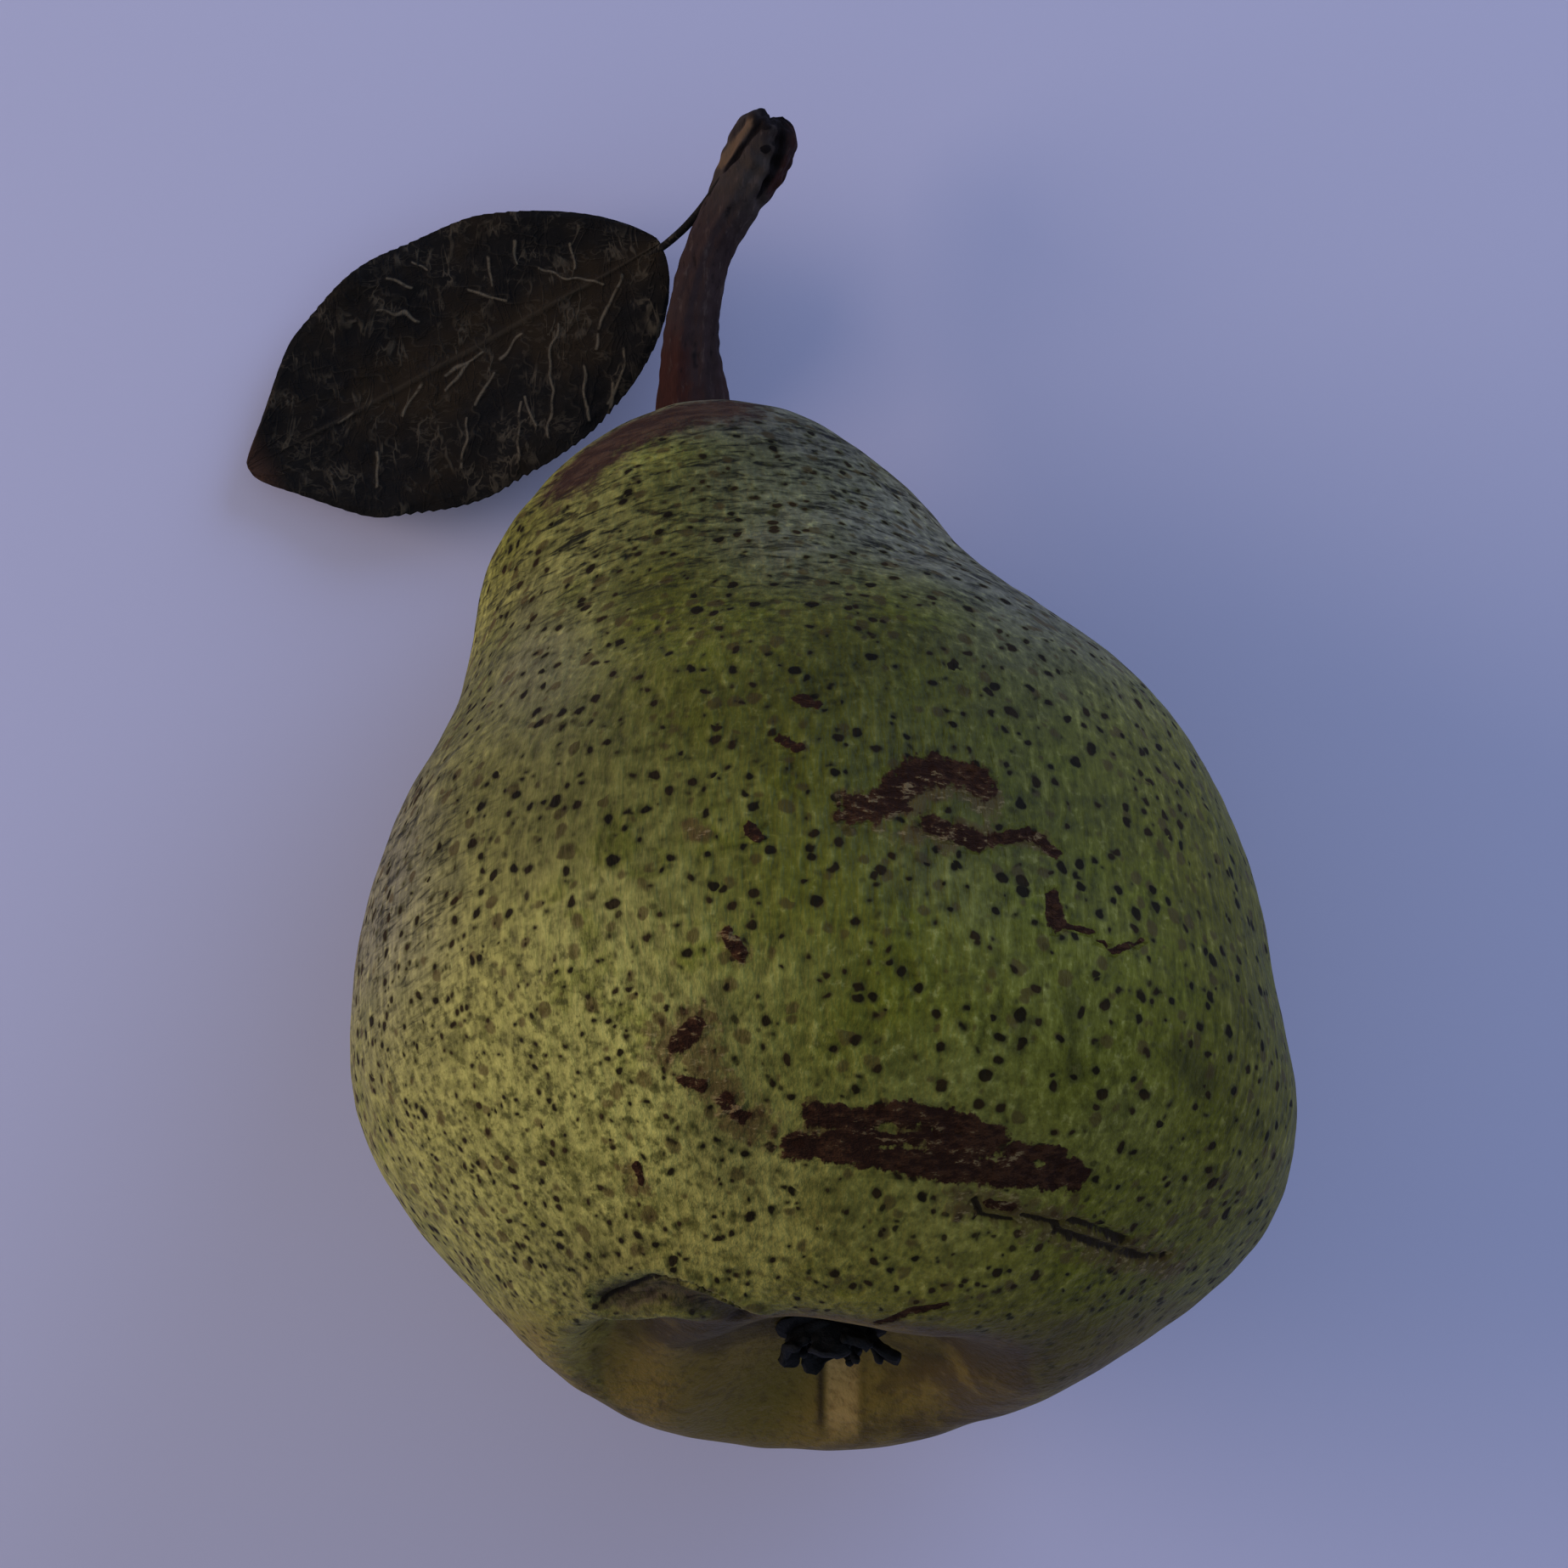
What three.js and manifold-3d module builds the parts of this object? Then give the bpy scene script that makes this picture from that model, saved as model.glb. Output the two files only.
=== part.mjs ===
// A ripe green pear lying on its side, with its woody stem, the one leaf that is still on the stem,
// and the dried calyx in the basin at the other end. Millimetres.
//
// The lying frame is the part's own: +Z up, +Y the way the stem points, +X to the right, and the
// origin on the surface, in the flat spot that the pear rests on.
// The grown frame is the fruit's: +Y runs along its axis from the calyx rim to the stem end, +X to
// the right, +Z up. It is tipped neck down, as a pear lies on its belly.
import * as THREE from "three";
import { mergeVertices } from "three/addons/utils/BufferGeometryUtils.js";
import Module from "manifold-3d";

const wasm = await Module();
wasm.setup();
const { degToRad, lerp, smoothstep } = THREE.MathUtils;

// The fruit and the way it lies.
const FRUIT_LENGTH = 85.6;
const FRUIT_HALF_WIDTH = 37.6;
const FRUIT_DEPTH = 0.97;
const TILT = degToRad(23);
const REST_ALONG = 48.2;
const REST_DROP = 32.4;
const NECK_LEAN = 7.6;
const BASIN_SWAY = 1.9;
const RIB_COUNT = 5;
const RIB_HEIGHT = 0.55;
const LIP_HEIGHT = 0.6;
const GAP = 0.3;
const HOLE_SPARE = 0.15;

// Half the fruit's outline, from the basin floor round the belly to the stem end, as shares of its
// length and of its half width.
const OUTLINE = [
  [0.062, 0], [0.060, 0.095], [0.046, 0.215], [0.016, 0.345], [0.004, 0.450], [0.018, 0.560],
  [0.066, 0.700], [0.155, 0.882], [0.262, 0.990], [0.368, 1], [0.471, 0.970], [0.575, 0.892],
  [0.672, 0.773], [0.764, 0.649], [0.856, 0.541], [0.931, 0.422], [0.982, 0.286], [0.998, 0.146],
  [0.993, 0],
];

// Swellings and hollows of the skin: place along the axis and round it (0 is +X, 90 is up), half
// length along the axis, half angle round it, and height.
const LUMPS = [
  { along: 18, round: -8, length: 9, angle: 38, height: 1 },
  { along: 1, round: -50, length: 6, angle: 40, height: -2 },
  { along: 5, round: -50, length: 7, angle: 26, height: -0.9 },
  { along: 6, round: 221, length: 9, angle: 32, height: -1.4 },
  { along: 0, round: 250, length: 8, angle: 28, height: 0.6 },
  { along: 17, round: 188, length: 5, angle: 28, height: 0.5 },
  { along: 60, round: 182, length: 8, angle: 30, height: -0.4 },
  { along: 63, round: 150, length: 7, angle: 40, height: -0.5 },
  { along: 67, round: 55, length: 7, angle: 38, height: -0.6 },
  { along: 74, round: 178, length: 7, angle: 35, height: -0.5 },
  { along: 81, round: 5, length: 5, angle: 35, height: -0.9 },
  { along: 48, round: 105, length: 16, angle: 30, height: 0.35 },
  { along: 30, round: 50, length: 14, angle: 28, height: -0.5 },
  { along: 27, round: 130, length: 12, angle: 25, height: 0.4 },
  { along: 62, round: -8, length: 8, angle: 35, height: 1.5 },
  { along: 40, round: 250, length: 15, angle: 30, height: 0.4 },
  { along: 52, round: 300, length: 12, angle: 30, height: -0.5 },
];

// The stem, in the grown frame. It stands a little off the crown's middle, on a fleshy foot.
const STEM_PATH = [
  [-10.2, 82.3, 4.5], [-10.5, 88, 5.3], [-10.6, 94, 6.3], [-9.3, 101, 7.4], [-6.9, 106.4, 8.2],
  [-4.7, 111, 9], [-3.7, 114.6, 9.6],
];
const STEM_WAIST = 2.2;
const STEM_FOOT_SWELL = 1.3;
const STEM_END_SWELL = 0.85;
const STEM_NOTCH = 0.5;
const FOOT_MOUND = 1.1;
const FOOT_SPREAD = 5;

// The leaf, in the lying frame. Its stalk grows out of the stem's end and bends over to the blade,
// which hangs beside the neck with its tip just off the surface.
const STALK_PATH = [
  [-5.3, 74.4, 14.6], [-6.1, 73.9, 17.2], [-8, 71.9, 17.8], [-10.1, 69.9, 15.9], [-11.9, 68.1, 13.2],
  [-13.7, 66.7, 10.8], [-17.4, 64.7, 9.3], [-23.1, 61.8, 7.6], [-32.7, 57, 5.3],
];
const STALK_RADIUS = 0.55;
const MIDRIB_RADIUS = 0.5;
const LEAF_BASE = new THREE.Vector3(-13.6, 66.6, 10.5);
const LEAF_TIP = new THREE.Vector3(-51.7, 47.4, 2.5);
const LEAF_THICKNESS = 0.7;
const LEAF_SAG = 1.3;
const LEAF_FOLD = 1.1;
const LEAF_WAVE = 0.6;
const LEAF_RIB = 0.3;
const LEAF_TEETH = 42;
const TOOTH_DEPTH = 0.4;
// The blade's two halves: widest half width, and how fast it swells at the base and narrows at the tip.
const OUTER_HALF = { width: 11.4, swell: 1, taper: 0.95 };
const INNER_HALF = { width: 13.2, swell: 0.5, taper: 0.74 };

// The calyx: a dry disc in the basin floor that five curled sepals and a tuft of stamens stand on.
const CALYX_RADIUS = 4.6;
const CALYX_TOP = 4.7;
const CALYX_DEPTH = 3;
const SEPAL_THICKNESS = 0.9;
const SEPAL_ROOT = 0.9;
// Each sepal: angle round the disc, length, outward lean and half width at the root.
const SEPALS = [
  { round: 20, length: 4.4, lean: 0.75, width: 1.7 },
  { round: 95, length: 5, lean: 0.3, width: 1.9 },
  { round: 165, length: 4.6, lean: 0.7, width: 1.8 },
  { round: 238, length: 4.2, lean: 0.55, width: 1.6 },
  { round: 306, length: 4, lean: 0.8, width: 1.5 },
];
const STAMEN_COUNT = 7;
const STAMEN_RADIUS = 0.45;

const TO_REST = new THREE.Matrix4().makeRotationX(-TILT);
TO_REST.multiply(new THREE.Matrix4().makeTranslation(0, -REST_ALONG, REST_DROP));

const fruitSkin = new THREE.MeshStandardMaterial({ color: 0x565329, roughness: 0.55, metalness: 0 });
const stemBark = new THREE.MeshStandardMaterial({ color: 0x2b2020, roughness: 0.8, metalness: 0 });
const dryLeaf = new THREE.MeshStandardMaterial({ color: 0x1a1716, roughness: 0.7, metalness: 0 });
const dryCalyx = new THREE.MeshStandardMaterial({ color: 0x0d0b0b, roughness: 0.85, metalness: 0 });

const vectors = (points) => points.map((point) => new THREE.Vector3(...point));
const bell = (value, middle, width) => Math.exp(-(((value - middle) / width) ** 2));

// A geometry with its doubled vertices merged, which leaves it one closed surface.
function merged(geometry) {
  geometry.deleteAttribute("normal");
  geometry.deleteAttribute("uv");
  return mergeVertices(geometry);
}

function solid(geometry) {
  const closed = merged(geometry);
  const vertProperties = new Float32Array(closed.attributes.position.array);
  const triVerts = new Uint32Array(closed.index.array);
  return new wasm.Manifold(new wasm.Mesh({ numProp: 3, vertProperties, triVerts }));
}

function geometryOf(manifold) {
  const { vertProperties, triVerts } = manifold.getMesh();
  const geometry = new THREE.BufferGeometry();
  geometry.setAttribute("position", new THREE.BufferAttribute(vertProperties, 3));
  geometry.setIndex(new THREE.BufferAttribute(triVerts, 1));
  geometry.computeVertexNormals();
  return geometry;
}

function piece(name, manifold, material) {
  const mesh = new THREE.Mesh(geometryOf(manifold), material);
  mesh.name = name;
  return mesh;
}

// A closed tube along a curve. radiusAt gives its radius, and pushAt how far its skin is pushed on
// along the curve, both from the share of the curve's length and the angle round it.
function tube(curve, sides, steps, radiusAt, pushAt = () => 0) {
  const profile = [new THREE.Vector2(0, 0)];
  for (let step = 0; step <= steps; step += 1) {
    profile.push(new THREE.Vector2(1, step / steps));
  }
  profile.push(new THREE.Vector2(0, 1));
  const geometry = merged(new THREE.LatheGeometry(profile, sides));
  const frames = curve.computeFrenetFrames(steps, false);
  const position = geometry.attributes.position;
  for (let index = 0; index < position.count; index += 1) {
    const share = position.getY(index);
    const angle = Math.atan2(position.getX(index), position.getZ(index));
    const rim = Math.hypot(position.getX(index), position.getZ(index));
    const out = rim * radiusAt(share, angle);
    const step = Math.round(share * steps);
    const point = curve.getPointAt(share);
    point.addScaledVector(frames.normals[step], out * Math.cos(angle));
    point.addScaledVector(frames.binormals[step], out * Math.sin(angle));
    point.addScaledVector(frames.tangents[step], rim * pushAt(share, angle));
    position.setXYZ(index, point.x, point.y, point.z);
  }
  return geometry;
}

// A round peg from one point to another.
function peg(from, to, radius, sides) {
  const axis = to.clone().sub(from);
  const geometry = new THREE.CylinderGeometry(radius, radius, axis.length(), sides);
  const turn = new THREE.Quaternion();
  turn.setFromUnitVectors(new THREE.Vector3(0, 1, 0), axis.normalize());
  geometry.applyQuaternion(turn);
  const middle = from.clone().lerp(to, 0.5);
  return geometry.translate(middle.x, middle.y, middle.z);
}

// A round hole for what stands on a foot: wider than it all round, and as much deeper.
function socket(foot, next, radius, sides) {
  const axis = next.clone().sub(foot).normalize();
  return peg(foot.clone().addScaledVector(axis, -GAP), next, radius + GAP, sides);
}

// A thin closed blade on a grid. place gives the point for a share of the length, a share of the
// half width from -1 to 1, and the face, 1 or -1. Both faces are split into triangles alike.
function blade(columns, rows, place) {
  const plane = new THREE.PlaneGeometry(1, 1, columns, rows);
  const count = plane.attributes.position.count;
  const points = [];
  for (const face of [1, -1]) {
    for (let index = 0; index < count; index += 1) {
      const along = plane.attributes.position.getX(index) + 0.5;
      const across = 2 * plane.attributes.position.getY(index);
      points.push(...place(along, across, face).toArray());
    }
  }
  const border = [];
  for (let column = 0; column < columns; column += 1) border.push(rows * (columns + 1) + column);
  for (let row = rows; row > 0; row -= 1) border.push(row * (columns + 1) + columns);
  for (let column = columns; column > 0; column -= 1) border.push(column);
  for (let row = 0; row < rows; row += 1) border.push(row * (columns + 1));
  const top = Array.from(plane.index.array);
  const faces = [...top, ...top.map((index) => index + count).reverse()];
  border.forEach((first, turn) => {
    const second = border[(turn + 1) % border.length];
    faces.push(first + count, second + count, second, first + count, second, first);
  });
  const geometry = new THREE.BufferGeometry();
  geometry.setAttribute("position", new THREE.Float32BufferAttribute(points, 3));
  geometry.setIndex(faces);
  return geometry;
}

// How far the fruit's middle line stands to the right of its axis: a slight sway at the basin, and
// a neck that leans left.
function axisOffset(along) {
  return BASIN_SWAY * bell(along, 12, 11) - NECK_LEAN * smoothstep(along, 50, 74);
}

// A point of the fruit's skin in the grown frame: the outline's point turned by an angle round the
// axis, pushed out by the lumps, with five low ribs round the basin, a fuller lip on the basin's
// lower side, and a mound at the stem's foot.
function skinPoint(along, out, angle) {
  const firm = smoothstep(out, 2, 14);
  let radius = out;
  for (const { along: place, round, length, angle: spread, height } of LUMPS) {
    const turned = (Math.cos(angle - degToRad(round)) - 1) / degToRad(spread) ** 2;
    radius += firm * height * bell(along, place, length) * Math.exp(turned);
  }
  const ribs = Math.cos(RIB_COUNT * angle + 0.6) * bell(out, 12.5, 6);
  const lip = bell(out, 20, 9) * Math.exp((-Math.sin(angle) - 1) / degToRad(40) ** 2);
  const x = radius * Math.cos(angle) + axisOffset(along);
  const up = FRUIT_DEPTH * radius * Math.sin(angle);
  const [footX, footAlong, footUp] = STEM_PATH[1];
  const mound = bell(Math.hypot(x - footX, up - footUp), 0, FOOT_SPREAD) * bell(along, footAlong, 8);
  const basin = (RIB_HEIGHT * ribs + LIP_HEIGHT * lip) * firm * (1 - smoothstep(along, 8, 20));
  return new THREE.Vector3(x, along - basin + FOOT_MOUND * mound, up);
}

function fruitBody() {
  const outline = new THREE.SplineCurve(
    OUTLINE.map(([along, out]) => new THREE.Vector2(out * FRUIT_HALF_WIDTH, along * FRUIT_LENGTH)),
  );
  const geometry = merged(new THREE.LatheGeometry(outline.getPoints(54), 72));
  const position = geometry.attributes.position;
  for (let index = 0; index < position.count; index += 1) {
    const out = Math.hypot(position.getX(index), position.getZ(index));
    const angle = Math.atan2(position.getZ(index), position.getX(index));
    const point = skinPoint(position.getY(index), out, angle);
    position.setXYZ(index, point.x, point.y, point.z);
  }
  return geometry;
}

function stemRadius(share, angle) {
  const swell = STEM_FOOT_SWELL * bell(share, 0, 0.25) + STEM_END_SWELL * bell(share, 0.9, 0.17);
  const uneven = 1 + 0.05 * Math.cos(2 * angle + 5 * share) + 0.03 * Math.cos(3 * angle - 4 * share);
  const close = Math.max(0, (share - 0.92) / 0.08);
  return (STEM_WAIST + swell) * uneven * Math.sqrt(1 - 0.7 * close ** 2);
}

// The stem's end is broken off, with two lobes and a notch between them.
function stemPush(share, angle) {
  return STEM_NOTCH * smoothstep(share, 0.88, 1) * Math.cos(2 * angle + 0.8);
}

function stemBody(stalkRoot) {
  const path = new THREE.CatmullRomCurve3(vectors(STEM_PATH));
  const hole = socket(...stalkRoot, STALK_RADIUS + HOLE_SPARE, 12);
  return solid(tube(path, 18, 34, stemRadius, stemPush)).subtract(solid(hole));
}

// Where the stem stands in the fruit.
function stemSocket() {
  const [foot, next] = vectors(STEM_PATH);
  return socket(foot, next, STEM_WAIST + STEM_FOOT_SWELL + 2 * HOLE_SPARE, 24);
}

// Half the blade's width at a share of its length, toothed along the margin.
function leafReach(share, half) {
  const peak = half.swell / (half.swell + half.taper);
  const full = (share / peak) ** half.swell * ((1 - share) / (1 - peak)) ** half.taper;
  const tooth = 0.5 - 0.5 * Math.cos(2 * Math.PI * LEAF_TEETH * share);
  return LEAF_RIB + (half.width - TOOTH_DEPTH * tooth) * full;
}

// The blade runs from its base to its tip, sags between them, folds up along the midrib and waves
// at its margins.
function leafPoint(share, across, face) {
  const forward = LEAF_TIP.clone().sub(LEAF_BASE).setZ(0).normalize();
  const aside = new THREE.Vector3(-forward.y, forward.x, 0);
  const reach = leafReach(share, across > 0 ? INNER_HALF : OUTER_HALF);
  const point = LEAF_BASE.clone().lerp(LEAF_TIP, share).addScaledVector(aside, across * reach);
  const fold = LEAF_FOLD * Math.abs(across) ** 1.5;
  const wave = LEAF_WAVE * across ** 2 * Math.sin(15 * share + 2 * across);
  const wide = Math.sin(Math.PI * share);
  point.z += (fold + wave - LEAF_SAG) * wide + (face * LEAF_THICKNESS) / 2;
  return point;
}

function leafBody() {
  const stalk = new THREE.CatmullRomCurve3(vectors(STALK_PATH));
  const taper = (share) => lerp(STALK_RADIUS, MIDRIB_RADIUS, share);
  const leaf = solid(blade(2 * LEAF_TEETH, 6, leafPoint));
  return leaf.add(solid(tube(stalk, 8, 34, taper)));
}

// A sepal, with its disc's middle at the origin and the way out of the basin along -Y. It rises from
// the disc, leans out and curls back at its tip.
function sepalPoint({ round, length, lean, width }, share, across, face) {
  const radial = new THREE.Vector3(Math.cos(degToRad(round)), 0, Math.sin(degToRad(round)));
  const aside = new THREE.Vector3(-radial.z, 0, radial.x);
  const outward = new THREE.Vector3(0, -1, 0);
  const out = 2.9 + length * lean * share ** 2;
  const rise = (length + SEPAL_ROOT) * (share - 0.25 * share ** 2) - SEPAL_ROOT;
  const outSlope = 2 * length * lean * share;
  const riseSlope = (length + SEPAL_ROOT) * (1 - 0.5 * share);
  const normal = outward.clone().multiplyScalar(outSlope).addScaledVector(radial, -riseSlope).normalize();
  const reach = width * (1 - share) ** 0.7 * (1 + 0.3 * share) + 0.3;
  const cup = 0.35 * across ** 2 * reach;
  return new THREE.Vector3()
    .addScaledVector(radial, out)
    .addScaledVector(outward, rise)
    .addScaledVector(aside, across * reach)
    .addScaledVector(normal, cup + (face * SEPAL_THICKNESS) / 2);
}

function calyxBody() {
  const disc = new THREE.CylinderGeometry(CALYX_RADIUS, CALYX_RADIUS - 0.5, CALYX_DEPTH, 24);
  let calyx = solid(disc.rotateX(Math.PI).translate(0, CALYX_DEPTH / 2, 0));
  for (const sepal of SEPALS) {
    const place = (share, across, face) => sepalPoint(sepal, share, across, face);
    calyx = calyx.add(solid(blade(6, 4, place)));
  }
  for (let index = 0; index < STAMEN_COUNT; index += 1) {
    const angle = 2.4 * index;
    const out = 0.75 * Math.sqrt(index);
    const foot = new THREE.Vector3(out * Math.cos(angle), 0.8, out * Math.sin(angle));
    const tip = new THREE.Vector3(1.4 * foot.x, -1.6 - 0.25 * index, 1.4 * foot.z);
    calyx = calyx.add(solid(peg(foot, tip, STAMEN_RADIUS, 6)));
  }
  return calyx;
}

function calyxSocket() {
  const middle = axisOffset(CALYX_TOP);
  const mouth = new THREE.Vector3(middle, -10, 0);
  const floor = new THREE.Vector3(middle, CALYX_TOP + CALYX_DEPTH + GAP, 0);
  return peg(mouth, floor, CALYX_RADIUS + GAP, 24);
}

const toGrown = TO_REST.clone().invert();
const stalkRoot = vectors(STALK_PATH.slice(0, 2)).map((point) => point.applyMatrix4(toGrown));

const table = new THREE.BoxGeometry(200, 200, 20).translate(0, 0, -10);
const fruitSolid = solid(fruitBody().applyMatrix4(TO_REST))
  .subtract(solid(stemSocket().applyMatrix4(TO_REST)))
  .subtract(solid(calyxSocket().applyMatrix4(TO_REST)))
  .subtract(solid(table));

const grown = new THREE.Group();
grown.applyMatrix4(TO_REST);
grown.add(piece("stem", stemBody(stalkRoot), stemBark));
const calyx = piece("calyx", calyxBody(), dryCalyx);
calyx.position.set(axisOffset(CALYX_TOP), CALYX_TOP, 0);
grown.add(calyx);

const pear = new THREE.Group();
pear.add(piece("fruit", fruitSolid, fruitSkin));
pear.add(grown);
pear.add(piece("leaf", leafBody(), dryLeaf));

export default pear;
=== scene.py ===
"""A ripe green pear lying on its belly, with its woody stem, one dry leaf and the dried calyx.

Shapes are worked out in millimetres and put into the meshes in metres. The lying frame is the part's
own: +Z up, +Y the way the stem points. The grown frame is the fruit's: +Y runs along its axis from
the calyx rim to the stem end, and it is tipped neck down by TILT.
"""

import math
from functools import reduce

import bpy
import numpy as np
from bpy.props import FloatProperty, FloatVectorProperty, IntProperty, PointerProperty
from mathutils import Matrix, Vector


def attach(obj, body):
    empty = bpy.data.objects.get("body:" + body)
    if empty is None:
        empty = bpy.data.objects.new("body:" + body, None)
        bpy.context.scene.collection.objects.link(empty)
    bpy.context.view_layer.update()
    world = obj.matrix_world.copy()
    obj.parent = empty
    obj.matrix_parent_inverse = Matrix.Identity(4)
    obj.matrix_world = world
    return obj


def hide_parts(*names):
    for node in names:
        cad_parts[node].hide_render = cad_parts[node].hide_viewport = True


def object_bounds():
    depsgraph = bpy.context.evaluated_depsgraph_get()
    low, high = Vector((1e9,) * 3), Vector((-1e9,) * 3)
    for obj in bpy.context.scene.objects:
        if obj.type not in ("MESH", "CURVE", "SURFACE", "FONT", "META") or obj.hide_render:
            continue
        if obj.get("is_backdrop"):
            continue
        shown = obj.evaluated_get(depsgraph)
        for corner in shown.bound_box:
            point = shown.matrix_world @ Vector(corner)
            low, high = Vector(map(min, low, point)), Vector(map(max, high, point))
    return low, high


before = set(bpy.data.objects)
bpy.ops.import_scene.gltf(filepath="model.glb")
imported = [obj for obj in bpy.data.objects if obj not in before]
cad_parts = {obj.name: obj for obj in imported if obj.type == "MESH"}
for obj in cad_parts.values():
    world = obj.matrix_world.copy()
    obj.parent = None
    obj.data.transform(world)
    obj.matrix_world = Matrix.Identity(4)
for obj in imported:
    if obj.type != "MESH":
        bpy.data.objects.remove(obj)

bl_info = {
    "name": "Lying Pear",
    "version": (1, 0, 0),
    "blender": (4, 5, 0),
    "location": "View3D > Sidebar > Pear",
    "description": "Dresses the pear's solids with skin, stem, leaf and calyx",
    "category": "Add Mesh",
}

CAD_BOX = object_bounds()
MM = 0.001
TAU = 2 * math.pi
# A direction that no path runs along, for setting out the rings round it.
NEARLY_UP = (0.05, 0.1, 1.0)
# Straight steps that a path's length is measured with.
PATH_STEPS = 400
# Further than any real distance.
FAR = 1e9

# The fruit and the way it lies, in millimetres.
FRUIT_LENGTH = 85.6
FRUIT_HALF_WIDTH = 37.6
FRUIT_DEPTH = 0.97
TILT = math.radians(23)
REST_ALONG = 48.2
REST_DROP = 32.4
NECK_LEAN = 7.6
BASIN_SWAY = 1.9
RIB_COUNT = 5
RIB_HEIGHT = 0.55
LIP_HEIGHT = 0.6
FOOT_MOUND = 1.1
FOOT_SPREAD = 5

# Half the fruit's outline, from the basin floor round the belly to the stem end, as shares of its
# length and of its half width.
OUTLINE = (
    (0.062, 0), (0.060, 0.095), (0.046, 0.215), (0.016, 0.345), (0.004, 0.450), (0.018, 0.560),
    (0.066, 0.700), (0.155, 0.882), (0.262, 0.990), (0.368, 1), (0.471, 0.970), (0.575, 0.892),
    (0.672, 0.773), (0.764, 0.649), (0.856, 0.541), (0.931, 0.422), (0.982, 0.286), (0.998, 0.146),
    (0.993, 0),
)

# Swellings and hollows of the skin: place along the axis and round it (0 is +X, 90 is up), half
# length along the axis, half angle round it, and height.
LUMPS = (
    (18, -8, 9, 38, 1), (1, -50, 6, 40, -2), (5, -50, 7, 26, -0.9), (6, 221, 9, 32, -1.4),
    (0, 250, 8, 28, 0.6), (17, 188, 5, 28, 0.5), (60, 182, 8, 30, -0.4), (63, 150, 7, 40, -0.5),
    (67, 55, 7, 38, -0.6), (74, 178, 7, 35, -0.5), (81, 5, 5, 35, -0.9), (48, 105, 16, 30, 0.35),
    (30, 50, 14, 28, -0.5), (27, 130, 12, 25, 0.4), (62, -8, 8, 35, 1.5), (40, 250, 15, 30, 0.4),
    (52, 300, 12, 30, -0.5),
)

# Marks on the upper skin. Each is a half width and the points of its line, seen from above in the
# lying frame.
CORK_MARKS = (
    (0.95, ((-0.7, -9.8), (2.7, -10.1), (6.4, -9.6))),
    (0.35, ((0.6, -11.1), (3.4, -11.4))),
    (0.3, ((4.4, -11.3), (7.0, -11.7))),
    (1.15, ((7.4, -9.8), (10.5, -10.4), (13.0, -11.4))),
    (1.4, ((8.8, -11.6), (12.2, -12.2))),
    (1.2, ((-1.5, -12.2), (2.7, -12.7), (8.5, -13.5), (13.4, -13.9), (19.2, -14.7))),
    (0.85, ((14.0, -12.2), (17.0, -13.0), (18.8, -13.8))),
    (0.4, ((12.4, -16.2), (14.4, -16.6))),
    (1.3, ((2.6, 12.4), (5.2, 13.2))),
    (1.5, ((5.8, 14.6), (8.6, 15.6), (11.8, 14.6))),
    (0.9, ((8.2, 11.4), (11.9, 10.2))),
    (0.8, ((-10.4, -4.6), (-8.9, -3.2))),
    (0.7, ((-6.6, -8.8), (-5.2, -9.8))),
    (0.6, ((-9.8, -7.0), (-8.2, -7.8))),
    (0.4, ((-13.3, -13.8), (-13.0, -14.8))),
    (0.8, ((17.2, 6.2), (17.5, 4.2))),
    (0.28, ((17.6, 4.4), (20.0, 3.4), (22.0, 2.2), (23.9, 3.1))),
    (0.5, ((-3.2, 18.0), (-1.6, 16.8))),
    (0.6, ((-1.6, 21.0), (0.2, 20.6))),
    (0.5, ((-5.0, 11.2), (-4.2, 10.4))),
    (0.6, ((-7.0, 3.6), (-5.6, 1.6))),
    (0.6, ((13.2, 10.4), (15.6, 10.9), (17.4, 9.6))),
    (0.42, ((4.6, -25.4), (7.0, -24.4), (9.4, -23.9))),
)
CRACKS = (
    (0.5, ((17.6, -18.6), (20.8, -19.9), (24.4, -20.8))),
    (0.4, ((24.4, -20.8), (26.6, -21.2))),
    (0.3, ((15.2, -17.2), (16.4, -17.9), (17.8, -17.8))),
    (0.3, ((18.6, -17.6), (21.8, -18.6), (23.2, -19.4))),
    (0.28, ((11.2, -16.0), (12.2, -17.2), (14.2, -17.4))),
    (0.42, ((-16.2, -24.3), (-14.1, -23.0), (-12.1, -21.8))),
    (0.3, ((-12.1, -21.8), (-9.0, -22.4), (-6.5, -23.7), (-4.4, -24.9))),
)
TAN_MARKS = (
    (1.3, ((-0.6, -11.0), (4.0, -11.3), (8.5, -11.8))),
    (0.9, ((9.5, -12.9), (14.0, -13.2))),
    (2.0, ((10.5, -16.2), (15.5, -17.2), (18.5, -18.4))),
    (2.0, ((15.8, -17.6), (21.4, -20.0), (27.6, -21.8))),
    (2.3, ((-10.8, -5.0), (-8.4, -3.4), (-8.6, -6.6), (-6.2, -9.0), (-4.6, -10.2))),
    (1.8, ((2.6, 12.2), (6.2, 13.0), (9.6, 14.6), (13.0, 13.4))),
    (1.5, ((6.6, 10.6), (12.6, 10.6))),
    (1.0, ((-13.6, -13.6), (-12.8, -15.0))),
    (0.9, ((-6.6, 3.4), (-5.6, 1.6))),
    (0.9, ((-9.4, 11.6), (-8.8, 10.4))),
    (1.0, ((14.6, 10.8), (17.2, 10.0))),
)
BRUISES = (
    (1.1, ((18.1, -1.0), (18.4, -6.8))),
    (2.2, ((26.6, -5.4), (28.8, -7.6))),
    (1.2, ((15.2, -3.4), (14.6, -5.2))),
    (1.3, ((7.4, 8.4), (6.2, 6.2))),
    (1.0, ((-7.4, -1.0), (-6.6, -3.0))),
)
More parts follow.
